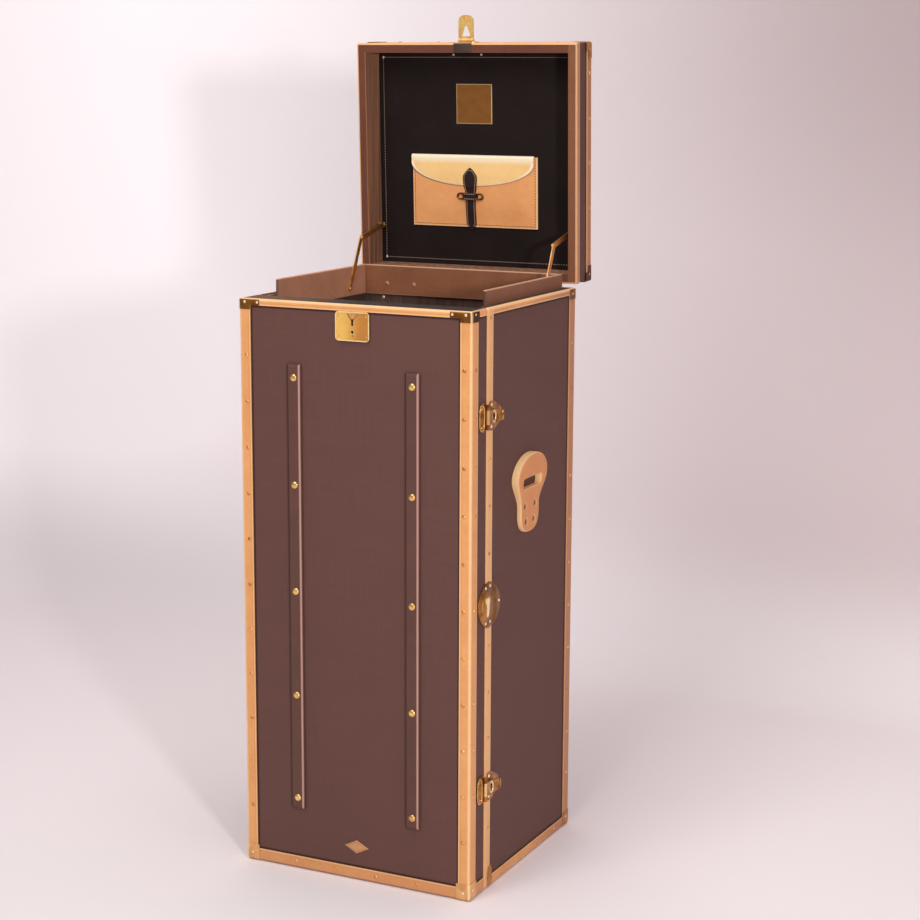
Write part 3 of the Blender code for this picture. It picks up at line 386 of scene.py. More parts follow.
# Painted reflection: the top caps' dark tones stand for the dark surroundings they reflect.
cap_brass = brass_finish("cap_brass", *CAP_TONES, 0.28)
base_brass = brass_finish("base_cap_brass", (210, 152, 92), (164, 110, 62), 0.30)
dress(cap_brass, "left_back_top_cap", "right_back_top_cap")
dress(base_brass, "left_back_base_cap", "right_back_base_cap")


# Nails of the case: turned brass heads, eight millimetres across, driven through the bindings in even
# rows. Those in the caps, and two under the back collar, are of paler metal.

NAIL = 0.0040
CAP_NAIL = 0.0037
CAP_NAIL_IN = 0.017
NAIL_PITCH = 0.0915
NAIL_TOP = 1.034
NAIL_ROWS = 11
LATCH_LEVELS = (0.940, 0.210)
LOCK_LEVEL = 0.575


def board(origin, across, up):
    """Places on a flat face: a across and b up from the origin, c out from the face."""
    origin, across, up = (np.array(vector, float) for vector in (origin, across, up))
    out = np.cross(across, up)

    def spot(a, b, c):
        a, b, c = np.broadcast_arrays(a, b, c)
        return origin + a[..., None] * across + b[..., None] * up + c[..., None] * out
    return spot


def front_board(y, x=0.0, z=0.0):
    """Places on an upright face that looks forward."""
    return board((x, y, z), (1, 0, 0), (0, 0, 1))


def right_board(x, y=0.0, z=0.0):
    """Places on an upright face that looks to the right."""
    return board((x, y, z), (0, 1, 0), (0, 0, 1))


def grid_faces(rows, columns, wrap):
    """Quads between neighbouring rows and columns; wrap joins the last column to the first."""
    index = np.arange(rows * columns).reshape(rows, columns)
    if wrap:
        index = np.concatenate((index, index[:, :1]), axis=1)
    corners = (index[:-1, :-1], index[:-1, 1:], index[1:, 1:], index[1:, :-1])
    return np.stack(corners, axis=-1).reshape(-1, 4)


def skins(grids, wrap=True):
    """Points and quads of a stack of equal grids, shaped (..., rows, columns, 3)."""
    rows, columns = grids.shape[-3:-1]
    points = grids.reshape(-1, 3)
    starts = np.arange(0, len(points), rows * columns)
    faces = grid_faces(rows, columns, wrap)[None] + starts[:, None, None]
    return points, faces.reshape(-1, 4)


def add_piece(name, parts, material, body, crisp=50.0):
    """A mesh of the parts, each given as points and quads. Seams and poles are welded, faces turned
    outwards, and edges sharper than crisp degrees stay hard. The piece rides on a body."""
    starts = np.cumsum([0] + [len(points) for points, _ in parts])
    points = np.concatenate([points for points, _ in parts])
    faces = np.concatenate([quads + start for (_, quads), start in zip(parts, starts)])
    one, two, three, four = (points[faces[:, k]] for k in range(4))
    if np.sum(one * np.cross(two, three)) + np.sum(one * np.cross(three, four)) < 0:
        faces = faces[:, ::-1]
    mesh = bpy.data.meshes.new(name)
    mesh.from_pydata(points, [], faces)
    shape = bmesh.new()
    shape.from_mesh(mesh)
    bmesh.ops.remove_doubles(shape, verts=shape.verts, dist=1e-7)
    shape.to_mesh(mesh)
    shape.free()
    mesh.polygons.foreach_set("use_smooth", np.ones(len(mesh.polygons), bool))
    mesh.set_sharp_from_angle(angle=math.radians(crisp))
    mesh.materials.append(material)
    made = bpy.data.objects.new(name, mesh)
    bpy.context.scene.collection.objects.link(made)
    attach(made, body)
    return made


def heads(spot, across, up, profile, lift=0.0, sides=10, lean=0.0, stretch=1.0):
    """Turned heads at places on a board: the profile of radius and rise is spun round each place,
    lifted from the board, and drawn out by stretch along its lean."""
    radius, rise = np.array(profile).T[..., None]
    across, up, lift, lean = (np.atleast_1d(value)[:, None, None] for value in
                              np.broadcast_arrays(across, up, lift, lean))
    turn = np.linspace(0, 2 * math.pi, sides, endpoint=False)
    along = stretch * radius * np.cos(turn)
    aside = radius * np.sin(turn)
    return skins(spot(across + along * np.cos(lean) - aside * np.sin(lean),
                      up + along * np.sin(lean) + aside * np.cos(lean), lift + rise))


def domed(radius, rise=0.45, sink=0.0004):
    """The profile of a domed head: crown, shoulder, rim, and a flat underside let in a little."""
    crown = rise * radius
    return ((0.0, crown), (0.42 * radius, 0.92 * crown), (0.78 * radius, 0.62 * crown),
            (radius, 0.12 * crown), (radius, -sink), (0.0, -sink))


def nails(spot, across, up, radius=NAIL):
    """Nail heads at places on a board."""
    return heads(spot, across, up, domed(radius))


RIGHT = right_board(HALF)
LEFT = board((-HALF, 0, 0), (0, -1, 0), (0, 0, 1))
REAR = board((0, BACK, 0), (-1, 0, 0), (0, 0, 1))
nail_brass = brass_finish("nail_brass", (250, 190, 120), (180, 118, 62), 0.18, metal=0.8)
pale_brass = brass_finish("pale_brass", (255, 236, 206), (248, 210, 160), 0.24, metal=0.5)
rows_up = NAIL_TOP - NAIL_PITCH * np.arange(NAIL_ROWS)
front_rows = rows_up + NAIL_PITCH * 0.075
rear_rows = rows_up - NAIL_PITCH * 0.02
base_line = binding_low.z + BASE_STRIP * 0.5
side_line = np.linspace(CASE_FRONT + 0.075, BACK - 0.075, 4)
back_line = np.linspace(-HALF + 0.09, HALF - 0.09, 5)
clear = front_rows[np.abs(front_rows - LOCK_LEVEL) > 0.06]
clear = clear[np.abs(clear[:, None] - LATCH_LEVELS).min(axis=1) > 0.04]
case_nails = [nails(RIGHT, CASE_FRONT + FRONT_STRIP * 0.5, clear),
              nails(REAR, back_line, base_line)]
cap_nails = []
cap_levels = np.array((HEIGHT - 0.011, 0.019))
for spot, sense in ((RIGHT, 1), (LEFT, -1)):
    case_nails.append(nails(spot, sense * (BACK - STRIP * 0.5), rear_rows))
    case_nails.append(nails(spot, sense * side_line, base_line))
    case_nails.append(nails(spot, sense * (CASE_FRONT + FRONT_STRIP * 0.5), HEIGHT - 0.019))
    case_nails.append(nails(REAR, sense * (HALF - STRIP * 0.5), rear_rows))
    cap_nails.append(nails(spot, sense * (BACK - CAP_NAIL_IN), cap_levels, CAP_NAIL))
    cap_nails.append(nails(REAR, sense * (HALF - CAP_NAIL_IN), cap_levels, CAP_NAIL))
well_face = front_board(BACK_INSIDE)
cap_nails.append(nails(well_face, np.array((-0.1825, 0.1825)), collar_low.z - 0.0065, 0.0034))
add_piece("case_nails", case_nails, nail_brass, "case")
add_piece("case_cap_nails", cap_nails, pale_brass, "case")


# Handles: sole-shaped pads built up from stitched layers of tan leather, thick round the finger
# slot and thin at the foot, which four sunk rivets hold to the side.

handle_low, handle_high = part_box("right_handle")
HANDLE_MIDDLE = (handle_low.y + handle_high.y) / 2
HANDLE_WIDTH = 0.138
HANDLE_HEIGHT = 0.1575
HANDLE_FOOT = 0.042
HANDLE_SQUARE = 2.6
HANDLE_NECK = 0.052
HANDLE_BELLY = 0.1125
HANDLE_LEAN = 0.006
HANDLE_THICK = 0.015
HANDLE_THIN = 0.0095
HANDLE_STEP = 0.050
HANDLE_ROUND = 0.0036
SLOT_LEVEL = 0.1005
SLOT_HALF = (0.042, 0.0105)
SLOT_CORNER = 0.0060
RIVET_PLACES = np.array(((-0.023, 0.0530), (0.023, 0.0530), (-0.018, 0.0220), (0.018, 0.0220)))
RIVET_WELL = (0.0080, 0.0050)


def ease(value):
    """A smooth rise from 0 to 1."""
    value = np.clip(value, 0, 1)
    return value * value * (3 - 2 * value)


def handle_outline():
    """Half of the sole shape: a squared foot, sides that swell to the belly, and an oval crown. The
    last value tells how far the crown leans to the rear."""
    quarter = np.linspace(0, math.pi / 2, 26)
    belly = HANDLE_WIDTH / 2
    sides = np.linspace(HANDLE_FOOT, HANDLE_BELLY, 26)[1:-1]
    level = np.concatenate((HANDLE_FOOT * (1 - np.cos(quarter)), sides,
                            HANDLE_BELLY + (HANDLE_HEIGHT - HANDLE_BELLY) * np.sin(quarter)))
    swell = ease((sides - HANDLE_NECK) / (HANDLE_BELLY - HANDLE_NECK))
    half = np.concatenate((HANDLE_FOOT * (1 - np.cos(quarter) ** HANDLE_SQUARE) ** (1 / HANDLE_SQUARE),
                           HANDLE_FOOT + (belly - HANDLE_FOOT) * swell, belly * np.cos(quarter)))
    return half, level, HANDLE_LEAN * ease((level - SLOT_LEVEL) / (HANDLE_HEIGHT - SLOT_LEVEL))


def handle_grid():
    """Across, level and rise of the pad: rays run from the slot's edge to the outline, and the
    rise follows the thickness, rounded off at both edges and dished at the rivets."""
    half, level, lean = handle_outline()
    middle = lean + 1j * (level - SLOT_LEVEL)
    outline = np.concatenate((middle + half, middle - half))
    bend = np.linspace(0, math.pi / 2, 7)
    arc = SLOT_HALF[0] - SLOT_CORNER + 1j * (SLOT_HALF[1] - SLOT_CORNER) + SLOT_CORNER * np.exp(1j * bend)
    top = np.linspace(-1, 1, 61) * (SLOT_HALF[0] - SLOT_CORNER) + 1j * SLOT_HALF[1]
    slot = np.concatenate((arc, top, -arc.conj(), -arc, top.conj(), arc.conj()))
    foot = np.exp(1j * np.linspace(-2.1, -1.04, 60))
    angle = np.unique(np.round(np.angle(np.concatenate((outline, slot, foot))), 4))

    def reach(ring):
        order = np.argsort(np.angle(ring))
        return np.interp(angle, np.angle(ring)[order], np.abs(ring)[order], period=2 * math.pi)
    inner = reach(slot)
    outer = reach(outline)
    set_in = HANDLE_ROUND * np.array((0.0, 0.06, 0.22, 0.5, 1.0))
    share = np.linspace(0, 1, 42)[1:-1, None]
    middle = inner + HANDLE_ROUND + (outer - inner - 2 * HANDLE_ROUND) * share
    radius = np.concatenate((inner + set_in[:, None], middle, outer - set_in[::-1, None]))
    drop = HANDLE_ROUND - np.sqrt(HANDLE_ROUND ** 2 - (HANDLE_ROUND - set_in) ** 2)
    rounding = np.concatenate((drop, np.zeros(len(share)), drop[::-1]))[:, None]
    across = radius * np.cos(angle)
    level = SLOT_LEVEL + radius * np.sin(angle)
    swell = ease((level - HANDLE_STEP) / (HANDLE_BELLY - HANDLE_STEP))
    thick = HANDLE_THIN + (HANDLE_THICK - HANDLE_THIN) * swell
    away = np.hypot(across[..., None] - RIVET_PLACES[:, 0], level[..., None] - RIVET_PLACES[:, 1])
    dish = RIVET_WELL[1] * ease(1.5 * (1 - away / RIVET_WELL[0])).max(axis=-1)
    rise = thick - rounding - dish
    across = np.concatenate((across, across[[-1, 0]], across[:1]))
    level = np.concatenate((level, level[[-1, 0]], level[:1]))
    rise = np.concatenate((rise, np.zeros((2, len(angle))), rise[:1]))
    return across, level, rise


def handle_finish():
    """Built-up tan leather: paler on the trimmed walls as painted light, with a painted highlight on
    the rounded edges of the face, and painted shade in the rivet wells.
    """
    material, place = begin("handle_leather")
    x, y, z = place.split()
    tone, height = leather(place, (232, 158, 96), (200, 124, 70), 0.0013)
    layers = step((abs(x) * (2 * math.pi / 0.0042)).math("SINE"), 0.75, 1.0)
    facing = abs(place.node("ShaderNodeTexCoord", output="Normal").split()[0])
    wall = fall(facing, 0.30, 0.75)
    # Painted highlight on the rounded edges, and painted light on the walls.
    bend = fall(facing, 0.90, 0.995) * 0.55
    tone = tint(bend, tone, (250, 194, 142))
    tone = tint(wall * 0.85, tone, tint(layers * 0.25, (255, 214, 156), (240, 178, 120)))
    # Painted shade in the rivet wells.
    well = None
    for across, level in RIVET_PLACES:
        aside = y - HANDLE_MIDDLE - across
        above = z - handle_low.z - level
        off = aside * aside + above * above
        spot = fall(off.math("SQRT"), RIVET_WELL[0] * 0.45, RIVET_WELL[0] * 0.95)
        well = spot if well is None else well.math("MAXIMUM", spot)
    complete(place, tint(well * 0.95, tone, (54, 25, 12)), 0.42 + cloud(place, 0.02) * 0.15, height)
    return material


handle_leather = handle_finish()
# Painted shade: a dark brass for rivets sunk in the handles' wells and for one lid cap.
shaded_brass = brass_finish("shaded_brass", (112, 62, 30), (70, 38, 18), 0.30)
across, level, rise = handle_grid()
for name, sense in (("left", -1), ("right", 1)):
    spot = board((sense * handle_low.x, HANDLE_MIDDLE, handle_low.z), (0, sense, 0), (0, 0, 1))
    pad = add_piece(name + "_handle_pad", [skins(spot(sense * across, level, rise))], handle_leather, "case")
    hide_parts(name + "_handle")
    sunk = heads(spot, RIVET_PLACES[:, 0], RIVET_PLACES[:, 1], domed(0.0030, 0.35, 0.002),
                 lift=HANDLE_THIN - RIVET_WELL[1])
    add_piece(name + "_handle_rivets", [sunk], shaded_brass, "case", crisp=60.0)


# Lid hinges: two brass strap hinges on the outside of the back, riveted through the boards, so
# that four rivet ends show inside on the back collar.

LEAF = 0.0023
HINGE_SPREAD = 0.139
HINGE_PITCH = np.array((-0.0316, 0.0316))
hinge_brass = brass_finish("hinge_brass", (238, 190, 112), (196, 142, 70), 0.22)
for name in ("left", "right"):
    dress(hinge_brass, name + "_lid_hinge_case_leaf", name + "_lid_hinge_lid_leaf")
leaf_face = board((0, BACK + LEAF, 0), (-1, 0, 0), (0, 0, 1))
collar_face = front_board(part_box("back_collar")[0].y)
leaf_rivets = [heads(leaf_face, middle + HINGE_PITCH, level, domed(0.0035))
               for middle in (-HINGE_SPREAD, HINGE_SPREAD) for level in (HEIGHT - 0.016, HEIGHT - 0.033)]
add_piece("case_hinge_rivets", leaf_rivets, hinge_brass, "case")
collar_rivets = [heads(collar_face, middle + HINGE_PITCH, 1.134, domed(0.0052, 0.3), sides=16)
                 for middle in (-HINGE_SPREAD, HINGE_SPREAD)]
dull_brass = brass_finish("dull_brass", (186, 126, 96), (134, 84, 60), 0.40, metal=0.4)
add_piece("collar_rivets", collar_rivets, dull_brass, "case")


# Door: a canvas-covered front board on a shallow frame, lined with cloth inside, so that the
# door is a tray. It hangs on a long brass hinge along its left edge.

door_low, door_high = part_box("door_binding")
FRONT = door_low.y
DOOR_BACK = door_high.y
BOARD_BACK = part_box("door_panel")[1].y
DOOR_STRIP = 0.024
DOOR_SIDE_STRIP = 0.027
DOOR_BASE_STRIP = 0.024
DOOR_FOOT = door_low.z + DOOR_BASE_STRIP
DOOR_NAIL_OUT = 0.2348
DOOR_NAIL_BACK = 0.0175
DOOR_CAP_OUT = np.array((0.2375, 0.2095))
DOOR_CAP_BACK = 0.014


def door_windows(place):
    """How far a point lies outside the window in the front's strips, and outside that in a side's."""
    x, y, z = place.split()
    high = HEIGHT - RIM_STRIP
    return (outside(x, -HALF + DOOR_STRIP, HALF - DOOR_STRIP, z, DOOR_FOOT, high),
            outside(y, FRONT + DOOR_SIDE_STRIP, 1.0, z, DOOR_FOOT, high))


def door_bound(place):
    """How far a point of the door lies under the strips."""
    front, side = door_windows(place)
    return front + (side - front) * step(place.split()[1], FRONT + 0.004, FRONT + 0.006)


def door_lined(place):
    """The inner face of the board, and every face of the frame but its outer sides."""
    x, y, _ = place.split()
    return step(y, BOARD_BACK - 0.0003, BOARD_BACK - 0.0001) * fall(abs(x), HALF - 0.0030, HALF - 0.0026)


dress(canvas_finish("door_canvas", door_lined, door_bound), "door_panel", "door_frame")
dress(hinge_brass, "door_hinge_case_leaf", "door_hinge_door_leaf")
hinge_rows = np.linspace(0.085, HEIGHT - 0.085, 14)
leaf_out = -HALF - LEAF
JOINT = (DOOR_BACK + CASE_FRONT) / 2
leaf_face = board((leaf_out, JOINT, 0), (0, -1, 0), (0, 0, 1))
for body, away in (("case", -0.010), ("door", 0.010)):
    screws = heads(leaf_face, away, hinge_rows, domed(0.0026, 0.3))
    add_piece(f"door_hinge_{body}_screws", [screws], hinge_brass, body)


# Door binding: tan strips down both sides, along the foot and over the top, with a crease by each
# cut edge, brass caps at the corners and a row of nails on each strip.

def door_strips(place):
    """Windows in the front and the sides. The top of the door has a dark facing inside a narrow lip,
    lighter at the left."""
    x, y, z = place.split()
    on_front = near(0 - y, -FRONT)
    on_side = near(abs(x), HALF)
    front_edge, side_edge = door_windows(place)
    edge = 1 + (front_edge - 1) * on_front + (side_edge - 1) * on_side
    reach = (HALF - abs(x)).math("MINIMUM", HEIGHT - z)
    from_edge = (HALF - abs(x)).math("MINIMUM", y - FRONT)
    facing = near(z, HEIGHT) * step(from_edge, RIM_TAN, RIM_TAN + 0.0015)
    facing = facing * (0.86 + step(x, -0.20, 0.0) * 0.14)
    return edge, facing, corner(reach, y - FRONT), fall(z, 0.026, 0.040) * 0.35


def foot_cap_highlight(place):
    """A painted highlight on the upright bend at the corner of the door."""
    x, y, _ = place.split()
    bend = fall(HALF - abs(x), 0.0016, 0.0038) * fall(y - FRONT, 0.0016, 0.0038)
    return ((bend * 0.9, BRASS_RUB_AND_HIGHLIGHT),)


def door_cap_light_and_shade(place):
    """Painted shade on the sides, and a painted highlight on the bend before them."""
    x, y, _ = place.split()
    side = step(abs(x), HALF - 0.0006, HALF) * step(y - FRONT, 0.003, 0.006)
    return (side * 0.95, BRASS_SHADE), *foot_cap_highlight(place)


door_binding_leather = binding_finish("door_binding_leather", door_strips, (44, 27, 22), (29, 17, 14))
dress(door_binding_leather, "door_binding")
# The door's top caps take the dark tones of painted reflection.
door_brass = brass_finish("door_cap_brass", *CAP_TONES, 0.28, marks=door_cap_light_and_shade)
dress(door_brass, "door_left_top_cap", "door_right_top_cap")
foot_brass = brass_finish("foot_cap_brass", (238, 184, 122), (210, 152, 96), 0.30, metal=0.5,
                          marks=foot_cap_highlight)
dress(foot_brass, "door_left_base_cap", "door_right_base_cap")
FACING_DOOR = front_board(FRONT)
base_nails = np.linspace(-0.1355, 0.1355, 4)
cap_levels = np.array((HEIGHT - 0.0065, 0.020))
door_nails = [nails(FACING_DOOR, base_nails, DOOR_FOOT - DOOR_BASE_STRIP / 2)]
cap_nails = []
for spot, sense in ((RIGHT, 1), (LEFT, -1)):
    door_nails.append(nails(FACING_DOOR, sense * DOOR_NAIL_OUT, rows_up))
    door_nails.append(nails(spot, sense * (FRONT + DOOR_NAIL_BACK), rows_up))
    cap_nails.append(nails(FACING_DOOR, sense * DOOR_CAP_OUT, HEIGHT - 0.0068, CAP_NAIL))
    cap_nails.append(nails(FACING_DOOR, sense * DOOR_CAP_OUT[0], 0.017, CAP_NAIL))
    cap_nails.append(nails(spot, sense * (FRONT + DOOR_CAP_BACK), cap_levels, CAP_NAIL))
add_piece("door_nails", door_nails, nail_brass, "door")
add_piece("door_cap_nails", cap_nails, pale_brass, "door")


# Slats: two wooden battens covered in brown leather, bevelled on the face, each fixed to the door
# with five large domed rivets.

SLAT_SPREAD = 0.128
RIVET_ROWS = np.array((0.997, 0.787, 0.575, 0.364, 0.152))


def slat_highlight_and_shade(place):
    """A painted highlight on the right bevel and painted shade on the left."""
    x = place.split()[0]
    off = x - SLAT_SPREAD + step(SLAT_SPREAD / 2 - x, 0.0, SLAT_SPREAD) * (2 * SLAT_SPREAD)
    pale = step(off, 0.0092, 0.0106) * fall(off, 0.0128, 0.0140)
    bevel_shade = fall(off, -0.0142, -0.0110)
    return (pale * 0.65, (206, 160, 146)), (bevel_shade * 0.8, (48, 24, 18))


slat_leather = leather_finish("slat_leather", (103, 65, 54), (77, 46, 38), 0.0015, (0.60, 0.20, 0.03),
                              slat_highlight_and_shade)
dress(slat_leather, "left_slat", "right_slat")
slat_face = front_board(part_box("left_slat")[0].y)
rivet_brass = brass_finish("rivet_brass", (250, 208, 134), (214, 158, 86), 0.16, metal=0.8)
slat_rivets = [heads(slat_face, off, RIVET_ROWS, domed(0.0074, 0.42), sides=20)
               for off in (-SLAT_SPREAD, SLAT_SPREAD)]
add_piece("slat_rivets", slat_rivets, rivet_brass, "door")


# Lock plate: a stamped brass plate with a raised rim, let in under the door's top strip. A turned
# ring stands round the keyhole, and four small pins hold the corners.

lock_low, lock_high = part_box("lock_plate")
LOCK_MIDDLE = (lock_low.x + lock_high.x) / 2
LOCK_NOTCH = (0.011, 0.015)
LOCK_PINS = (0.0285, (1.083, 1.1215))
KEYHOLE = HEIGHT - 0.0519


def lock_finish():
    """Stamped brass: a painted highlight on the raised rim, a painted reflection that darkens to the
    right, a line of painted shade round the notch, and painted shade in the staple's slot and the keyhole."""
    material, place = begin("lock_brass")
    x, y, z = place.split()
    sunk = y - float(lock_low.y)
    tarnish = cloud(place, 0.018)
    # Painted reflection: the face darkens to the right.
    painted_reflection = step(x - LOCK_MIDDLE + tarnish * 0.012, -0.020, 0.028)
    tone = tint(painted_reflection, (250, 198, 102), (206, 138, 62))
    # Painted highlight on the raised rim.
    rim = outside(x, lock_low.x + 0.0020, lock_high.x - 0.0020, z, lock_low.z + 0.0020, lock_high.z - 0.0020)
    tone = tint(step(rim, -0.0008, 0.0004), tone, (255, 224, 164))
    from_top = (float(lock_high.z) - 0.004 - z) / LOCK_NOTCH[1]
    slant = (1 - from_top) * LOCK_NOTCH[0] - abs(x - LOCK_MIDDLE)
    line = fall(abs(slant), 0.0006, 0.0016) * fall(from_top, 1.0, 1.1) * step(from_top, 0.0, 0.05)
    tone = tint(step(sunk, 0.0013, 0.0016) * 0.8, tone, (226, 158, 104))
    # Painted shade: a dark line along the notch's sides, and dark in the slot and keyhole.
    tone = tint(line * 0.75, tone, (112, 66, 18))
    tone = tint(step(sunk, 0.0019, 0.0023), tone, (48, 18, 8))
    complete(place, tone, 0.20 + tarnish * 0.14, tarnish * 0.00004, {"Metallic": 0.6})
    return material


lock_brass = lock_finish()
dress(lock_brass, "lock_plate")
lock_face = front_board(lock_low.y + 0.0010, LOCK_MIDDLE)
ring = ((0.0038, -0.0003), (0.0038, 0.0005), (0.0046, 0.0009), (0.0056, 0.0005), (0.0058, -0.0003),
        (0.0038, -0.0003))
lock_parts = [heads(lock_face, 0.0, KEYHOLE, ring, sides=28)]
for level in LOCK_PINS[1]:
    lock_parts.append(heads(lock_face, np.array((-1, 1)) * LOCK_PINS[0], level, domed(0.0019, 0.4), sides=12))
add_piece("lock_ring", lock_parts, rivet_brass, "door")


# Door patch: a small lozenge of tan leather glued near the foot of the door.

def plate(spot, outline, profile):
    """A plate over a closed outline: each ring of the profile is the outline set in by a distance
    and raised, and the middle closes face and back."""
    edge = np.roll(outline, -1, axis=0) - np.roll(outline, 1, axis=0)
    inward = np.stack((-edge[:, 1], edge[:, 0]), axis=1) / np.hypot(*edge.T)[:, None]
    set_in, rise = np.array(profile).T[..., None]
    middle = outline.mean(axis=0)
    across = np.concatenate((outline[:, 0] + set_in * inward[:, 0], np.full((2, len(outline)), middle[0])))
    up = np.concatenate((outline[:, 1] + set_in * inward[:, 1], np.full((2, len(outline)), middle[1])))
    rise = np.concatenate((rise, rise[-1:], rise[:1]))
    order = np.concatenate(([-1], np.arange(len(rise) - 1)))
    return skins(spot(across[order], up[order], np.broadcast_to(rise, across.shape)[order]))


def sides_of(corners, count):
    """A closed outline with count points along each side between corners."""
    corners = np.array(corners, float)
    share = np.linspace(0, 1, count, endpoint=False)[None, :, None]
    return (corners[:, None] + (np.roll(corners, -1, axis=0) - corners)[:, None] * share).reshape(-1, 2)


def oblong(half_across, half_up, count):
    """The outline of an oblong about its middle, with count points along each side."""
    return sides_of(np.array(((-1, -1), (1, -1), (1, 1), (-1, 1))) * (half_across, half_up), count)


PATCH_MIDDLE = np.array((0.002, 0.069))
PATCH_HALF = np.array((0.0265, 0.0135))


def patch_finish():
    """Tan leather with a line tooled inside the border."""
    material, place = begin("patch_leather")
    tone, height = leather(place, (214, 158, 108), (176, 118, 76), 0.0010)
    x, _, z = place.split()
    inset = abs(x - PATCH_MIDDLE[0]) / PATCH_HALF[0] + abs(z - PATCH_MIDDLE[1]) / PATCH_HALF[1]
    tooled = fall(abs(inset - 0.80), 0.03, 0.06)
    complete(place, tint(tooled * 0.6, tone, (128, 82, 52)), 0.45 + cloud(place, 0.01) * 0.15,
             height - tooled * 0.0002)
    return material


canvas_face = front_board(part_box("door_panel")[0].y)
lozenge = PATCH_MIDDLE + PATCH_HALF * ((-1, 0), (0, -1), (1, 0), (0, 1))
patch_profile = ((0.0, -0.0002), (0.0, 0.0009), (0.0003, 0.0013), (0.0009, 0.0015))
patch = plate(canvas_face, sides_of(lozenge, 6), patch_profile)
add_piece("door_patch", [patch], patch_finish(), "door")


# Side latches: stamped brass plates with a rounded bead, and on the door a hinged lever, pierced by
# a window and rolled at its tip, that closes over a catch on the case. Rivets hold the plates.

LATCH_OUT = 0.0045
LATCH_AXIS = DOOR_BACK - 0.0065
LEVER_LENGTH = 0.050
LEVER_FOOT = 0.014
LEVER_TIP = 0.010
LEVER_LIFT = 0.006
LEVER_THICK = 0.0026
LEVER_ROUND = 0.0011
WINDOW_ALONG = 0.0210
WINDOW_HALF = (0.0044, 0.0082)
KNUCKLE = ((0.0, -0.0136), (0.004, -0.0136), (0.004, 0.0136), (0.0, 0.0136))
TIP_ROLL = ((0.0, -0.0096), (0.0018, -0.0096), (0.0024, -0.0086), (0.0024, 0.0086), (0.0018, 0.0096),
            (0.0, 0.0096))
BEAD_MIDDLE = -0.0227
BEAD_HALF = (0.0100, 0.0235)


def tube(path, out, radius, sides=10):
    """A round wire carried along a closed path; out is the direction square to the path's plane."""
    ahead = np.roll(path, -1, axis=0) - np.roll(path, 1, axis=0)
    ahead /= np.linalg.norm(ahead, axis=1)[:, None]
    aside = np.cross(ahead, out)
    aside /= np.linalg.norm(aside, axis=1)[:, None]
    over = np.cross(aside, ahead)
    turn = np.linspace(0, 2 * math.pi, sides, endpoint=False)[:, None]
    ring = aside[:, None] * np.cos(turn) + over[:, None] * np.sin(turn)
    rings = path[:, None] + radius * ring
    return skins(np.concatenate((rings, rings[:1])))


def lever_sheet(spot):
    """A tongue that narrows and lifts towards its tip. Rays run from the oval window to the outline,
    and the face is rounded off at both."""
    edge = np.array(((0, LEVER_FOOT), (LEVER_LENGTH / 2, LEVER_FOOT), (LEVER_LENGTH, LEVER_TIP)))
    outline = sides_of(np.concatenate((edge * (1, -1), edge[::-1])), 10) - (WINDOW_ALONG, 0)
    ways = outline / np.linalg.norm(outline, axis=1)[:, None]
    window = ways / np.linalg.norm(ways / np.array(WINDOW_HALF), axis=1)[:, None]
    share = np.array((0, 0.03, 0.09, 0.2, 0.4, 0.6, 0.8, 0.91, 0.97, 1, 1, 0.5, 0, 0))[:, None, None]
    flat = window + (outline - window) * share
    span = np.linalg.norm(outline - window, axis=1) * np.minimum(share, 1 - share)[..., 0]
    drop = LEVER_ROUND - np.sqrt(LEVER_ROUND ** 2 - (LEVER_ROUND - np.minimum(span, LEVER_ROUND)) ** 2)
    face = LEVER_THICK - drop
    face[-4:-1] = 0.0
    along = flat[..., 0] + WINDOW_ALONG
    lift = LEVER_LIFT * np.clip((along / LEVER_LENGTH - 0.35) / 0.65, 0, 1)
    return skins(spot(along, flat[..., 1], face + lift))


def lever_highlight_and_shade(place):
    """A painted highlight round the window, along the hinge and at the tip, and painted shade between
    them.
    """
    _, y, z = place.split()
    along = y - LATCH_AXIS
    up = z - LATCH_LEVELS[1] - step(z, 0.5, 0.6) * (LATCH_LEVELS[0] - LATCH_LEVELS[1])
    aside = (along - WINDOW_ALONG) / WINDOW_HALF[0]
    ring = (aside * aside + up * up / WINDOW_HALF[1] ** 2).math("SQRT")
    round_window = step(ring, 0.9, 1.1) * fall(ring, 1.35, 1.7)
    ends = fall(along, -0.0010, 0.0020) + step(along, LEVER_LENGTH - 0.0035, LEVER_LENGTH - 0.0015)
    light = round_window * 0.9 + ends * 0.7
    return ((1 - light.math("MINIMUM", 1.0)) * 0.35, BRASS_SHADE), (light, BRASS_RUB_AND_HIGHLIGHT)


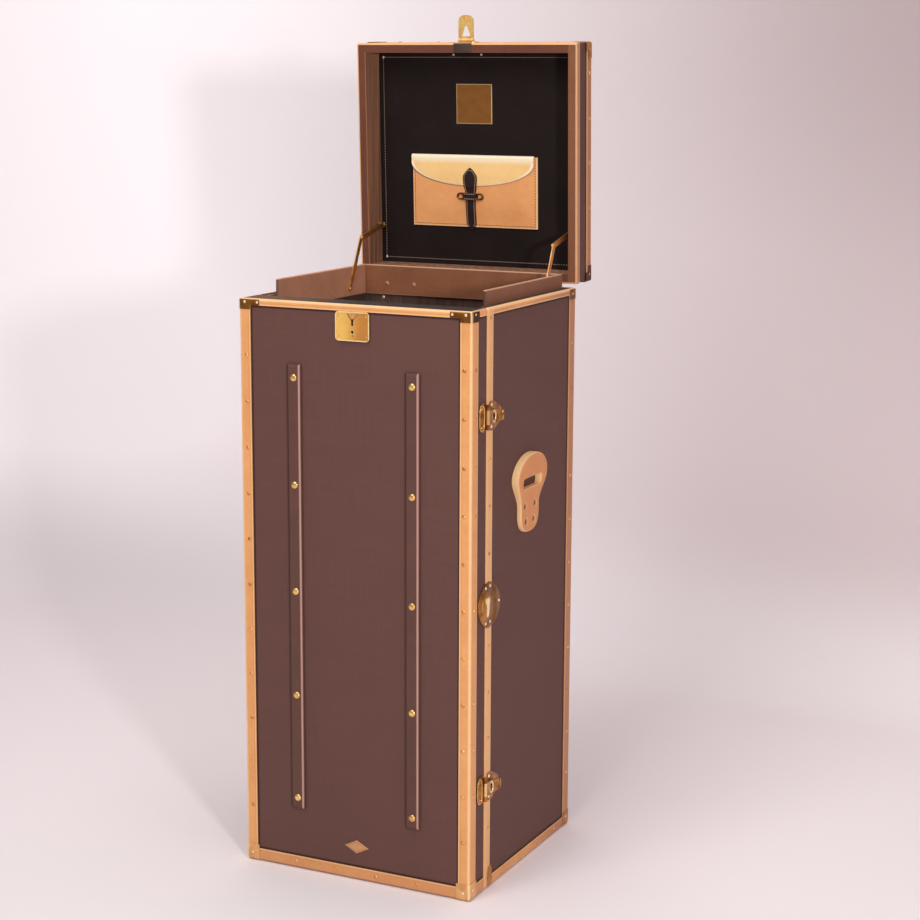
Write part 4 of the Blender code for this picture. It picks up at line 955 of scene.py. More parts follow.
latch_brass = brass_finish("latch_brass", (190, 126, 60), (104, 58, 24), 0.20, metal=0.7)
lever_brass = brass_finish("lever_brass", (226, 166, 96), (150, 94, 44), 0.12, marks=lever_highlight_and_shade)
around = np.linspace(0, 2 * math.pi, 48, endpoint=False)
bead_across = DOOR_BACK + BEAD_MIDDLE + BEAD_HALF[0] * np.sign(np.cos(around)) * np.abs(np.cos(around)) ** 0.6
bead_up = BEAD_HALF[1] * np.sign(np.sin(around)) * np.abs(np.sin(around)) ** 0.6
for name, level in zip(("upper", "lower"), LATCH_LEVELS):
    dress(latch_brass, name + "_latch_plate", name + "_latch_catch")
    catch_face = right_board(HALF + LEAF, z=level)
    door_face = right_board(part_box(name + "_latch_plate")[0].x + 0.002, z=level)
    lever_spot = right_board(HALF + LATCH_OUT + 0.0004, LATCH_AXIS, level)
    axle = board((HALF + LATCH_OUT, LATCH_AXIS, level), (1, 0, 0), (0, 1, 0))
    knuckle = heads(axle, 0.0, 0.0, KNUCKLE, sides=20)
    roll = heads(axle, LEVER_LIFT + 0.0022, LEVER_LENGTH - 0.0020, TIP_ROLL, sides=14)
    lever = add_piece(name + "_lever", [lever_sheet(lever_spot), knuckle, roll], lever_brass,
                      name + "_latch_lever", crisp=40.0)
    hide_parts(name + "_latch_lever")
    catch_rivets = heads(catch_face, CASE_FRONT + 0.0125, np.array((-0.0200, 0.0212)), domed(0.0036),
                         sides=14)
    add_piece(name + "_catch_rivets", [catch_rivets], pale_brass, "case")
    bead = tube(door_face(bead_across, bead_up, 0.0003), (1, 0, 0), 0.0012)
    latch_rivets = heads(door_face, DOOR_BACK + BEAD_MIDDLE, np.array((-0.0175, 0.0175)), domed(0.0026),
                         sides=14)
    add_piece(name + "_latch_rivets", [bead, latch_rivets], rivet_brass, "door")


# Centre lock: a cast brass oval with a raised boss over the joint of door and case, cut in two
# halves and held by rivets.

LOCK_FORWARD = -0.164
LOCK_HALF = (0.045, 0.046)
LOCK_RISE = 0.010
LOCK_FLANGE = 0.0022
BOSS_MIDDLE = -0.0145
BOSS_HALF = (0.0245, 0.0300)
BOSS_RIDGE = 0.0030


def oval_highlight_and_shade(place):
    """A painted highlight down the ridge of the boss, more so at its head, and painted shade round the
    boss and behind it.
    """
    _, y, z = place.split()
    aside = (y - (LOCK_FORWARD + BOSS_MIDDLE)) / BOSS_HALF[0]
    up = (z - LOCK_LEVEL) / BOSS_HALF[1]
    boss = aside * aside + up * up
    head = step(up, 0.10, 0.45)
    ridge = fall(abs(aside + 0.22), 0.08 + head * 0.14, 0.24 + head * 0.24)
    light = ridge * fall(abs(up), 0.50, 0.72)
    dark = step(boss, 0.75, 1.0) * (0.12 + step(up, 0.5, 0.9) * 0.4)
    return (dark.math("MAXIMUM", step(aside, 0.0, 0.45) * 0.5), BRASS_SHADE), (light, BRASS_RUB_AND_HIGHLIGHT)


def oval_rise(across, up):
    """Rise of the casting over its seat: a thin rounded flange, and on it a steep-sided boss, taller
    than wide, whose crown falls away to both sides of a ridge."""
    size = np.abs(across / LOCK_HALF[0]) ** 1.5 + np.abs(up / LOCK_HALF[1]) ** 1.75
    flange = LOCK_FLANGE * np.sqrt(np.clip((1 - size) / 0.10, 0, 1))
    aside = (across - BOSS_MIDDLE) / BOSS_HALF[0]
    boss = aside ** 2 + (up / BOSS_HALF[1]) ** 2
    wall = ease((1 - boss) / 0.45)
    ridge = (1 - np.abs(aside)) * (1 - boss)
    return flange + wall * (LOCK_RISE - LOCK_FLANGE - BOSS_RIDGE) + BOSS_RIDGE * np.clip(ridge, 0, 1)


def slab(front, back):
    """A closed sheet between two grids of points: face, back and the four edges."""
    rows, columns = front.shape[:2]
    count = rows * columns
    index = np.arange(count).reshape(rows, columns)
    ring = np.concatenate((index[0, :-1], index[:-1, -1], index[-1, :0:-1], index[:0:-1, 0]))
    after = np.roll(ring, -1)
    quads = grid_faces(rows, columns, False)
    walls = np.stack((ring, ring + count, after + count, after), axis=-1)
    return (np.concatenate((front.reshape(-1, 3), back.reshape(-1, 3))),
            np.concatenate((quads, quads[:, ::-1] + count, walls)))


def oval_half(start, stop, tall, spot):
    """One half of the oval between two places along the side, as a height field over rows of its
    width. Its back follows the seat: the canvas, or the leather strip where that lies under it."""
    up = tall * np.sin(np.linspace(-math.pi / 2, math.pi / 2, 61))[:, None]
    width = LOCK_HALF[0] * np.clip(1 - (np.abs(up) / LOCK_HALF[1]) ** 1.75, 0, 1) ** (1 / 1.5)
    share = np.linspace(0, 1, 49)
    low = np.maximum(start, -width)
    high = np.maximum(np.minimum(stop, width), low)
    across = low + (high - low) * (1 - np.cos(math.pi * share)) / 2
    up = np.broadcast_to(up, across.shape)
    on_strip = (across > lock_joint) & (across < lock_joint + FRONT_STRIP + 0.001)
    return slab(spot(across, up, oval_rise(across, up)), spot(across, up, np.where(on_strip, 0.0, -0.002)))


oval_brass = brass_finish("oval_brass", (186, 126, 60), (138, 86, 38), 0.18, metal=0.6,
                          marks=oval_highlight_and_shade)
lock_joint = JOINT - LOCK_FORWARD
keeper_tall = LOCK_HALF[1] * (1 - abs(lock_joint / LOCK_HALF[0]) ** 1.5) ** (1 / 1.75)
oval_spot = right_board(HALF + 0.0003, LOCK_FORWARD, LOCK_LEVEL)
CASE_RIVETS = ((0.0025, 0.0370), (0.0025, -0.0330), (0.0355, 0.0015))
KEEPER_RIVETS = ((-0.0165, 0.0355), (-0.0160, -0.0335))
for name, body, start, stop, tall, rivets in (
        ("case", "case", lock_joint + 0.0006, LOCK_HALF[0], LOCK_HALF[1], CASE_RIVETS),
        ("keeper", "door", -LOCK_HALF[0], lock_joint - 0.0006, keeper_tall, KEEPER_RIVETS)):
    casting = oval_half(start, stop, tall, oval_spot)
    half = add_piece("lock_oval_" + name, [casting], oval_brass, body, crisp=40.0)
    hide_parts("centre_lock_" + name)
    across, up = np.array(rivets).T
    domes = heads(oval_spot, across, up, domed(0.0029, 0.6), oval_rise(across, up), 14)
    add_piece(f"lock_oval_{name}_rivets", [domes], pale_brass, body)


# Foot tongues: a small brass tongue on each side of the case, nailed over the front corner where
# the upright strip meets the base strip.

tongue_line = np.array(((-0.0125, 0.0040), (0.0085, 0.0040), (0.0085, 0.0300), (0.0065, 0.0385),
                        (0.0015, 0.0445), (-0.0050, 0.0450), (-0.0105, 0.0395), (-0.0125, 0.0310)))
for name, spot, sense in (("right", RIGHT, 1), ("left", LEFT, -1)):
    middle = sense * (CASE_FRONT + FRONT_STRIP)
    turned = (tongue_line * (sense, 1))[::sense]
    tongue = plate(spot, sides_of(turned + (middle, 0), 3), ((0.0, -0.0020), (0.0, 0.0008), (0.0003, 0.0012)))
    tongue_nail = heads(spot, middle - sense * 0.003, 0.0380, domed(0.0026), lift=0.0012)
    add_piece(name + "_foot_tongue", [tongue, tongue_nail], base_brass, "case")


# Lid: a shallow box of the same boards. Canvas covers its outside, brown leather its inner walls.
# Tan bindings run round its rim and its outer edges, with brass caps at the outer corners. Of the
# right caps, the front one is painted bright as a highlight and the back one nearly black as shade.

lid_hinge = next(joint for joint in frame["joints"] if joint["name"] == "lid_hinge")
axis = np.array(lid_hinge["pos_m"], float)
OPEN = math.radians(lid_hinge["range_deg"][1])
LID_MIDDLE = 0.2465
LID_HALF = 0.241
LID_RISE = 0.076
LID_RIM = 0.0006
LID_STRIP = 0.024
LID_TAN = 0.0032
LID_CAP_NAIL = (0.016, 0.014, 0.012)


def lid_place(place):
    """Across, forward of the hinge line and above the rim, as with the lid shut."""
    x, y, z = place.split()
    back = y - float(axis[1])
    up = z - float(axis[2])
    return x, up * math.sin(OPEN) - back * math.cos(OPEN), back * math.sin(OPEN) + up * math.cos(OPEN)


def lid_windows(place):
    """How far a point lies outside the band of canvas on the walls, and outside the window on top."""
    x, forward, above = lid_place(place)
    off = abs(forward - LID_MIDDLE)
    wall = (LID_RIM + RIM_STRIP - above).math("MAXIMUM", above - (LID_RISE - LID_STRIP))
    return wall, outside(x, -HALF + LID_STRIP, HALF - LID_STRIP, off, -1.0, LID_HALF - LID_STRIP)


def lid_bound(place):
    """How far a point of the lid lies under the strips."""
    wall, top = lid_windows(place)
    return wall + (top - wall) * step(lid_place(place)[2], LID_RISE - 0.005, LID_RISE - 0.004)


def lid_lined(place):
    """The inner walls of the lid's frame."""
    x, forward, above = lid_place(place)
    walls = fall(abs(x), WALL_INSIDE + 0.0001, WALL_INSIDE + 0.0004) * \
        fall(abs(forward - LID_MIDDLE), LID_HALF - 0.0199, LID_HALF - 0.0196)
    return walls * fall(above, LID_RISE - 0.008, LID_RISE - 0.006)


lid_canvas = canvas_finish("lid_canvas", lid_lined, lid_bound, (176, 120, 88), (88, 56, 42))
dress(lid_canvas, "lid_frame", "lid_top_panel")


def lid_right_wall(x):
    """1 on the right wall of the lid, where the strips are darker."""
    return step(x, HALF - 0.0040, HALF - 0.0015)


def lid_top_strips(place):
    """Windows in the top and the four walls of the lid."""
    x, forward, above = lid_place(place)
    wall_edge, top_edge = lid_windows(place)
    on_top = near(above, LID_RISE)
    reach = (HALF - abs(x)).math("MINIMUM", LID_HALF - abs(forward - LID_MIDDLE))
    edge = wall_edge + (top_edge - wall_edge) * on_top
    no_facing = x * 0.0
    return edge, no_facing, corner(reach, LID_RISE - above), lid_right_wall(x) * 0.9


def lid_rim_strips(place):
    """A strip outside, and a brown facing on the rim inside a narrow tan band. The facing is lighter at
    the right, and along the inner edge at the left as a painted highlight."""
    x, forward, above = lid_place(place)
    reach = (HALF - abs(x)).math("MINIMUM", LID_HALF - abs(forward - LID_MIDDLE))
    # A painted highlight along the rim's inner edge at the left.
    inner = step(reach, 0.0184, 0.0192) * fall(x, 0.001 - WALL_INSIDE, 0.002 - WALL_INSIDE)
    thin = inner * 0.35 + step(x, WALL_INSIDE - 0.001, WALL_INSIDE) * 0.12
    facing = step(reach, LID_TAN, LID_TAN + 0.0012) * (1 - thin)
    return lid_windows(place)[0], facing, corner(reach, above - LID_RIM) * 0.4, lid_right_wall(x)


dress(binding_finish("lid_top_leather", lid_top_strips), "lid_top_binding")
lid_rim_leather = binding_finish("lid_rim_leather", lid_rim_strips, (117, 64, 41), (85, 45, 28))
dress(lid_rim_leather, "lid_rim_binding")
# Painted light: the right caps take a bright brass at the front as a highlight and a dark one at the back as
# shade; the left caps take the dark tones of painted reflection.
for end, right_cap_shading in (("front", base_brass), ("back", shaded_brass)):
    dress(cap_brass, f"lid_left_{end}_cap")
    dress(right_cap_shading, f"lid_right_{end}_cap")


def lid_board(across, forward, above, way_across, way_up):
    """Places on a face of the open lid, given in the shut lid's directions."""
    turn = np.array(((1, 0, 0), (0, -math.cos(OPEN), math.sin(OPEN)), (0, math.sin(OPEN), math.cos(OPEN))))
    origin = np.array((across, forward, above)) @ turn + (0, axis[1], axis[2])
    return board(origin, np.array(way_across) @ turn, np.array(way_up) @ turn)


LID_FACES = {"top": lid_board(0, LID_MIDDLE, LID_RISE, (-1, 0, 0), (0, 1, 0)),
             "front": lid_board(0, LID_MIDDLE + LID_HALF, 0, (1, 0, 0), (0, 0, 1)),
             "right": lid_board(HALF, LID_MIDDLE, 0, (0, -1, 0), (0, 0, 1)),
             "left": lid_board(-HALF, LID_MIDDLE, 0, (0, 1, 0), (0, 0, 1)),
             "back": lid_board(0, LID_MIDDLE - LID_HALF, 0, (-1, 0, 0), (0, 0, 1))}
lid_run = np.linspace(-0.18, 0.18, 5)
strip_mid = LID_RISE - LID_STRIP / 2
cap_line = np.array((-1, 1)) * (LID_HALF - LID_CAP_NAIL[0])
cap_level = LID_RISE - LID_CAP_NAIL[2]
lid_nails = [nails(LID_FACES[face], lid_run, strip_mid) for face in ("front", "left", "right")]
lid_nails.append(nails(LID_FACES["back"], np.array((-0.06, 0.06)), strip_mid))
for side in (-1, 1):
    lid_nails.append(nails(LID_FACES["top"], side * (HALF - LID_STRIP / 2), lid_run))
    lid_nails.append(nails(LID_FACES["top"], lid_run, side * (LID_HALF - LID_STRIP / 2)))
    lid_nails.append(nails(LID_FACES["top"], side * (HALF - LID_CAP_NAIL[0]), cap_line, CAP_NAIL))
    for face, half in (("left", LID_HALF), ("right", LID_HALF), ("front", HALF)):
        lid_nails.append(nails(LID_FACES[face], side * (half - LID_CAP_NAIL[1]), cap_level, CAP_NAIL))
add_piece("lid_nails", lid_nails, nail_brass, "lid")
rim_spot = lid_board(-0.004, LID_MIDDLE + LID_HALF - 0.0102, LID_RIM, (1, 0, 0), (0, 1, 0))
patch = plate(rim_spot, oblong(0.0205, 0.0095, 6), ((0.0, -0.0003), (0.0, 0.0002), (0.0004, 0.0004)))
patch_leather = leather_finish("hasp_patch_leather", (78, 50, 42), (50, 31, 26), **BROWN)
add_piece("hasp_patch", [patch], patch_leather, "lid")


# Lining of the lid: a board covered in smooth black leather, with a line of pale thread sewn
# round its border and a small nail in each corner.

LINING_ABOVE = 0.0600
BORDER = (0.2190, 0.2105)
STITCH = (0.0040, 0.0009)
STITCH_PITCH = 0.0058
lining_spot = lid_board(0, 0, LINING_ABOVE, (1, 0, 0), (0, 1, 0))
lining_leather = leather_finish("lining_leather", (40, 29, 27), (20, 14, 13), 0.0012, (0.50, 0.22, 0.04),
                                fixed={"Specular IOR Level": 0.12})
dress(lining_leather, "lid_lining")


def thread_finish(name, pale, deep):
    """Waxed thread, two plies twisted: fine slanting bands of a paler and a deeper tone."""
    material, place = begin(name)
    x, y, z = place.split()
    twist = ((x * 1.3 + y * 0.4 + z) * (2 * math.pi / 0.0009)).math("SINE") * 0.5 + 0.5
    tone = tint(twist * 0.7 + cloud(place, 0.01) * 0.3, deep, pale)
    complete(place, tone, 0.55 + twist * 0.1, twist * 0.00005)
    return material


def spaced(across, up, pitch):
    """Places at an even pitch along a line of points, with the lean of the line at each."""
    path = np.concatenate(([0.0], np.cumsum(np.hypot(np.diff(across), np.diff(up)))))
    at = np.arange(pitch / 2, path[-1], pitch)
    ahead = at + pitch / 8
    behind = at - pitch / 8
    lean = np.arctan2(np.interp(ahead, path, up) - np.interp(behind, path, up),
                      np.interp(ahead, path, across) - np.interp(behind, path, across))
    return np.interp(at, path, across), np.interp(at, path, up), lean


def stitches(spot, across, up, lift=0.0, pitch=STITCH_PITCH, size=STITCH):
    """A sewn line: one small drawn-out head for each stitch."""
    at_across, at_up, lean = spaced(np.asarray(across, float), np.asarray(up, float), pitch)
    over = lift(at_across, at_up) if callable(lift) else lift
    return heads(spot, at_across, at_up, domed(size[1], 0.8, 0.0003), over, 6, lean, size[0] / (2 * size[1]))


pale_thread = thread_finish("pale_thread", (176, 154, 140), (122, 102, 90))
border_across = np.array((-1, 1, 1, -1, -1)) * BORDER[0]
border_up = LID_MIDDLE + np.array((-1, -1, 1, 1, -1)) * BORDER[1]
border = stitches(lining_spot, border_across, border_up)
add_piece("lining_stitches", [border], pale_thread, "lid")
corner_nails = heads(lining_spot, border_across[:4], border_up[:4], domed(0.0026), sides=12)
top_nails = heads(lining_spot, np.array((-0.0540, 0.0100)), 0.4625, domed(0.0026), sides=12)
add_piece("lining_nails", [corner_nails, top_nails], pale_brass, "lid")


# Lid plate: a thin square of satin bronze with a bevelled edge, pinned to the lining.

PLATE_MIDDLE = (-0.007, 0.362)
PLATE_HALF = 0.041
PLATE_PIN = PLATE_HALF - 0.0055


def plate_bright_edges(place):
    """Bright along the four edges."""
    x, forward, _ = lid_place(place)
    inner = PLATE_HALF - 0.0022
    edge = outside(abs(x - PLATE_MIDDLE[0]), -1.0, inner, abs(forward - PLATE_MIDDLE[1]), -1.0, inner)
    return ((step(edge, 0.0, 0.0012) * 0.55, BRASS_RUB_AND_HIGHLIGHT),)


plate_bronze = brass_finish("plate_bronze", (150, 98, 44), (128, 82, 36), 0.42, 0.5, 0.7, plate_bright_edges)
plate_spot = lid_board(*PLATE_MIDDLE, LINING_ABOVE, (1, 0, 0), (0, 1, 0))
plate_profile = ((0.0, -0.0002), (0.0, 0.0010), (0.0008, 0.0018), (0.0022, 0.0018), (0.0028, 0.0013),
                 (0.0040, 0.0013))
name_plate = plate(plate_spot, oblong(PLATE_HALF, PLATE_HALF, 8), plate_profile)
add_piece("name_plate", [name_plate], plate_bronze, "lid", crisp=30.0)
pins = [heads(plate_spot, np.array((-1, 1)) * PLATE_PIN, level, domed(0.0013, 0.5), lift=0.0013)
        for level in (-PLATE_PIN, PLATE_PIN)]
add_piece("name_plate_pins", pins, plate_bronze, "lid")


# Pocket: two panels of soft tan leather sewn down on three sides to the lining, bulging a little
# between the seams.

POCKET_LEFT = -0.151
POCKET_RIGHT = 0.137
POCKET_FOOT = 0.107
POCKET_TOP = 0.2548
POCKET_MOUTH = 0.257
POCKET_SEAM = 0.0033
POCKET_FULL = 0.0026
POCKET_EASE = 0.040


def pocket_rise(across, up):
    """Rise of the pocket's face over the lining: thin at the seams, fuller inside them."""
    from_side = np.minimum(across - POCKET_LEFT, POCKET_RIGHT - across)
    from_foot = np.minimum(up - POCKET_FOOT, POCKET_MOUTH - up)
    full = ease((from_side - 0.005) / POCKET_EASE) * ease((from_foot - 0.005) / POCKET_EASE)
    lip = np.clip(np.minimum(from_side, up - POCKET_FOOT) / 0.0010, 0, 1)
    return POCKET_SEAM * (0.55 + 0.45 * np.sqrt(lip * (2 - lip))) + POCKET_FULL * full


def close_ends(low, high, count, edge):
    """Even places from low to high, with a few more close to each end."""
    near_end = edge * np.array((0.0, 0.25, 0.6, 1.0))
    return np.concatenate((low + near_end, np.linspace(low + 2 * edge, high - 2 * edge, count),
                           high - near_end[::-1]))


NATURAL = {"grain": 0.0012, "rough": (0.38, 0.16, 0.02)}
FLAP_MIDDLE = -0.0120
FLAP_HALF = 0.1410
FLAP_SIDE = 0.240
FLAP_DIP = 0.047


def flap_round(place):
    """1 on the oval that the flap's lower edge follows, and less inside it."""
    x, forward, _ = lid_place(place)
    over = (x - FLAP_MIDDLE) / FLAP_HALF
    hang = ((FLAP_SIDE - forward) / FLAP_DIP).math("MAXIMUM", 0.0)
    return (over * over + hang * hang).math("SQRT")


def pocket_marks(place):
    """Pale along the cut edges at the sides and the foot, and a dark line of painted shadow under the
    flap's edge.
    """
    x, forward, _ = lid_place(place)
    cut = outside(x, POCKET_LEFT + 0.0024, POCKET_RIGHT - 0.0024, forward, POCKET_FOOT + 0.0024, 1.0)
    # Painted shadow cast by the flap's edge, strongest at the left.
    flap_shadow = fall(flap_round(place), 1.01, 1.055) * (1 - step(x, -0.08, 0.04) * 0.7)
    return (step(cut, 0.0, 0.0012) * 0.85, (255, 216, 168)), (flap_shadow * 0.7, (104, 54, 28))


pocket_leather = leather_finish("pocket_leather", (250, 180, 114), (216, 138, 82), marks=pocket_marks,
                                **NATURAL)
across, up = np.meshgrid(close_ends(POCKET_LEFT, POCKET_RIGHT, 60, 0.0015),
                         close_ends(POCKET_FOOT, POCKET_TOP, 36, 0.0015))
body_sheet = slab(lining_spot(across, up, pocket_rise(across, up)), lining_spot(across, up, 0.0002))
pocket_front = add_piece("pocket_front", [body_sheet], pocket_leather, "lid", crisp=70.0)
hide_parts("pocket_body")
brown_thread = thread_finish("brown_thread", (112, 66, 38), (58, 33, 20))
seam = 0.0050
seam_across = np.array((POCKET_LEFT + seam, POCKET_LEFT + seam, POCKET_RIGHT - seam, POCKET_RIGHT - seam))
seam_up = np.array((0.232, POCKET_FOOT + seam, POCKET_FOOT + seam, 0.253))
add_piece("pocket_stitches", [stitches(lining_spot, seam_across, seam_up, pocket_rise)], brown_thread, "lid")


# Pocket flap: one piece of tan leather that folds over the mouth of the pocket and hangs to a
# curved edge, pared pale along the cut.

FLAP_THICK = 0.0020
FLAP_FOLD = 0.2500
FLAP_ROLL = 0.0070


def flap_low(across):
    """The curved lower edge: half an oval hung from the two sides."""
    return FLAP_SIDE - FLAP_DIP * np.sqrt(np.clip(1 - ((across - FLAP_MIDDLE) / FLAP_HALF) ** 2, 0, 1))


def flap_seat(across, up):
    """Underside of the flap: it lies on the pocket's face."""
    held = np.clip(across, POCKET_LEFT + 0.002, POCKET_RIGHT - 0.002)
    return pocket_rise(held, np.minimum(up, FLAP_FOLD)) + 0.0003


def flap_grids():
    """Face and back of the flap: up from the curved edge to the fold, then round the fold."""
    across = FLAP_MIDDLE + FLAP_HALF * np.sin(np.linspace(-math.pi / 2, math.pi / 2, 71))
    share = np.concatenate((np.array((0.0, 0.012, 0.035, 0.07)), np.linspace(0.12, 1.0, 22)))[:, None]
    low = flap_low(across)
    up = low + (FLAP_FOLD - low) * share
    across = np.broadcast_to(across, up.shape)
    seat = flap_seat(across, up)
    pared = FLAP_THICK * (0.45 + 0.55 * np.sqrt(np.clip(share / 0.035, 0, 1)))
    angle = np.linspace(0, math.pi / 2, 9)[1:, None]
    fold_seat = seat[-1]
    sheets = []
    for extra, roll in ((pared, FLAP_ROLL), (0.0 * pared, FLAP_ROLL - FLAP_THICK)):
        thick = extra[-1]
        rolled_up = FLAP_FOLD + roll * np.sin(angle) + 0.0 * fold_seat
        rolled_rise = (fold_seat + thick) * np.cos(angle) + 0.0004
        over = np.broadcast_to(across[:1], rolled_up.shape)
        sheets.append(lining_spot(np.concatenate((across, over)), np.concatenate((up, rolled_up)),
                                  np.concatenate((seat + extra, rolled_rise))))
    return sheets


def flap_marks(place):
    """Pale on the pared band along the curved edge, and a painted highlight towards the fold."""
    forward = lid_place(place)[1]
    pared = step(flap_round(place), 0.945, 0.975) * fall(forward, FLAP_SIDE, FLAP_SIDE + 0.006)
    # Painted highlight towards the fold.
    pale = pared.math("MAXIMUM", step(forward, FLAP_FOLD - 0.014, FLAP_FOLD + 0.003))
    return ((pale * 0.85, (255, 244, 216)),)


flap_leather = leather_finish("flap_leather", (255, 218, 150), (240, 184, 112), marks=flap_marks, **NATURAL)
flap = add_piece("pocket_flap_leather", [slab(*flap_grids())], flap_leather, "lid", crisp=70.0)
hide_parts("pocket_flap")


# Pocket strap: a pointed tongue of dark leather, sewn round its edge, that lies over the flap and
# down the pocket.

STRAP_LEVELS = np.array((0.1020, 0.1045, 0.1130, 0.1500, 0.1700, 0.1850,
                         0.2000, 0.2080, 0.2150, 0.2225, 0.2280, 0.2312))
STRAP_HALVES = np.array((0.0, 0.0056, 0.0112, 0.0112, 0.0112, 0.0128,
                         0.0156, 0.0164, 0.0152, 0.0100, 0.0044, 0.0))
STRAP_THICK = 0.0024
STRAP_LEAN = (-0.0148, -0.0135)
FINE_STITCH = (0.0042, (0.0032, 0.0009))


def strap_middle(up):
    """The strap leans a little: its top end lies further left than its tail."""
    share = (up - STRAP_LEVELS[0]) / (STRAP_LEVELS[-1] - STRAP_LEVELS[0])
    return STRAP_LEAN[1] + (STRAP_LEAN[0] - STRAP_LEAN[1]) * share


def strap_seat(up):
    """Underside of the strap: on the pocket, over the flap's edge, and off the pocket at its tail."""
    middle = strap_middle(up)
    body = np.where(up < POCKET_FOOT, POCKET_SEAM * 0.6, pocket_rise(middle, np.minimum(up, 0.236)))
    over = ease((up - flap_low(middle) + 0.010) / 0.009) * (FLAP_THICK + 0.0003)
    return body + over + 0.0003


def strap_grids():
    """Face and back of the strap: its half width and seat follow its length, and its edges are rounded."""
    up = np.concatenate((STRAP_LEVELS[:3], np.linspace(0.1135, 0.2275, 54), STRAP_LEVELS[-2:]))[:, None]
    half = np.interp(up, STRAP_LEVELS, STRAP_HALVES)
    share = np.sin(np.linspace(-math.pi / 2, math.pi / 2, 13))
    across = strap_middle(up) + half * share
    up = np.broadcast_to(up, across.shape)
    seat = strap_seat(up)
    rise = seat + STRAP_THICK * (1 - 0.4 * np.abs(share) ** 6)
    return lining_spot(across, up, rise), lining_spot(across, up, seat)


def strap_face(across, up):
    """Rise of the strap's face, which is level across."""
    return strap_seat(up) + STRAP_THICK


dark_leather = leather_finish("strap_leather", (48, 30, 27), (27, 17, 15), 0.0011, (0.40, 0.18, 0.02),
                              fixed={"Specular IOR Level": 0.25})
strap_sheet = slab(*strap_grids())
strap = add_piece("pocket_strap_leather", [strap_sheet], dark_leather, "lid", crisp=60.0)
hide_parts("pocket_strap")
sewn_up = np.linspace(0.1075, 0.2255, 90)
sewn_half = np.maximum(np.interp(sewn_up, STRAP_LEVELS, STRAP_HALVES) - 0.0030, 0.0)
sewn_across = np.concatenate((strap_middle(sewn_up) - sewn_half, (strap_middle(sewn_up) + sewn_half)[::-1]))
sewn_up = np.concatenate((sewn_up, sewn_up[::-1]))
strap_thread = thread_finish("strap_thread", (214, 176, 138), (156, 116, 84))
strap_sewn = stitches(lining_spot, sewn_across, sewn_up, strap_face, *FINE_STITCH)
add_piece("strap_stitches", [strap_sewn], strap_thread, "lid")


# Strap keeper: a long link of bronze wire that lies over the strap, and a band of dark leather over
# its middle, sewn through both edges, that holds link and strap down.

KEEPER_MIDDLE = -0.0150
KEEPER_LEVEL = 0.1715
KEEPER_HALF = 0.0290
KEEPER_ROUND = 0.0056
WIRE = 0.0020
BAND_HALF = 0.0068
BAND_THICK = 0.0013
turn = np.linspace(-math.pi / 2, math.pi / 2, 13)
straight = np.linspace(-1, 1, 17)[1:-1] * (KEEPER_HALF - KEEPER_ROUND)
end_across = KEEPER_HALF - KEEPER_ROUND + KEEPER_ROUND * np.cos(turn)
link_across = KEEPER_MIDDLE + np.concatenate((straight, end_across, -straight, -end_across))
edge = np.full(len(straight), KEEPER_ROUND)
end_up = KEEPER_ROUND * np.sin(turn)
link_up = KEEPER_LEVEL + np.concatenate((-edge, end_up, edge, -end_up))
over_strap = 1 - ease((np.abs(link_across - KEEPER_MIDDLE) - 0.0125) / 0.009)
link_rise = pocket_rise(link_across, link_up) + WIRE + over_strap * (STRAP_THICK + 0.0006)
link_path = lining_spot(link_across, link_up, link_rise)
lining_out = lining_spot(0.0, 0.0, 1.0) - lining_spot(0.0, 0.0, 0.0)
keeper_bronze = brass_finish("keeper_bronze", (150, 104, 58), (92, 60, 32), 0.24)
add_piece("strap_keeper", [tube(link_path, lining_out, WIRE)], keeper_bronze, "lid")


def band_seat(across, up):
    """Underside of the band: over the link and the strap, and down to the pocket at both ends."""
    over = 1 - ease((np.abs(across - KEEPER_MIDDLE) - 0.0125) / 0.005)
    return pocket_rise(across, up) + over * (STRAP_THICK + 2 * WIRE + 0.0008)


def band_face(across, up):
    """Rise of the band's face."""
    return band_seat(across, up) + BAND_THICK


across, up = np.meshgrid(KEEPER_MIDDLE + np.linspace(-1, 1, 31) * 0.0175,
                         KEEPER_LEVEL + np.linspace(-1, 1, 7) * BAND_HALF)
band = slab(lining_spot(across, up, band_face(across, up)), lining_spot(across, up, band_seat(across, up)))
add_piece("strap_band", [band], dark_leather, "lid", crisp=60.0)
sewn_across = KEEPER_MIDDLE + np.linspace(-1, 1, 20) * 0.0125
band_sewn = [stitches(lining_spot, sewn_across, np.full(20, KEEPER_LEVEL + off), band_face, *FINE_STITCH)
             for off in (-0.0050, 0.0050)]
add_piece("band_stitches", band_sewn, strap_thread, "lid")


# Hasp: a folded brass plate with a pointed window, hinged between two ears on the lid's front
# wall, where two rivets hold its plate.

hasp_brass = brass_finish("hasp_brass", (250, 206, 124), (216, 158, 80), 0.18, 0.8, 0.55)
dress(hasp_brass, "hasp", "hasp_plate")
hasp_face = lid_board(0, LID_MIDDLE + LID_HALF + LEAF, 0, (1, 0, 0), (0, 0, 1))
hasp_rivets = heads(hasp_face, np.array((-0.0120, 0.0120)), 0.0235, domed(0.0026, 0.4), sides=12)
add_piece("hasp_rivets", [hasp_rivets], hasp_brass, "lid")


# Lid stays: two flat brass links a side, pinned to the collar, to each other and to the lid wall,
# each pin with a riveted head.

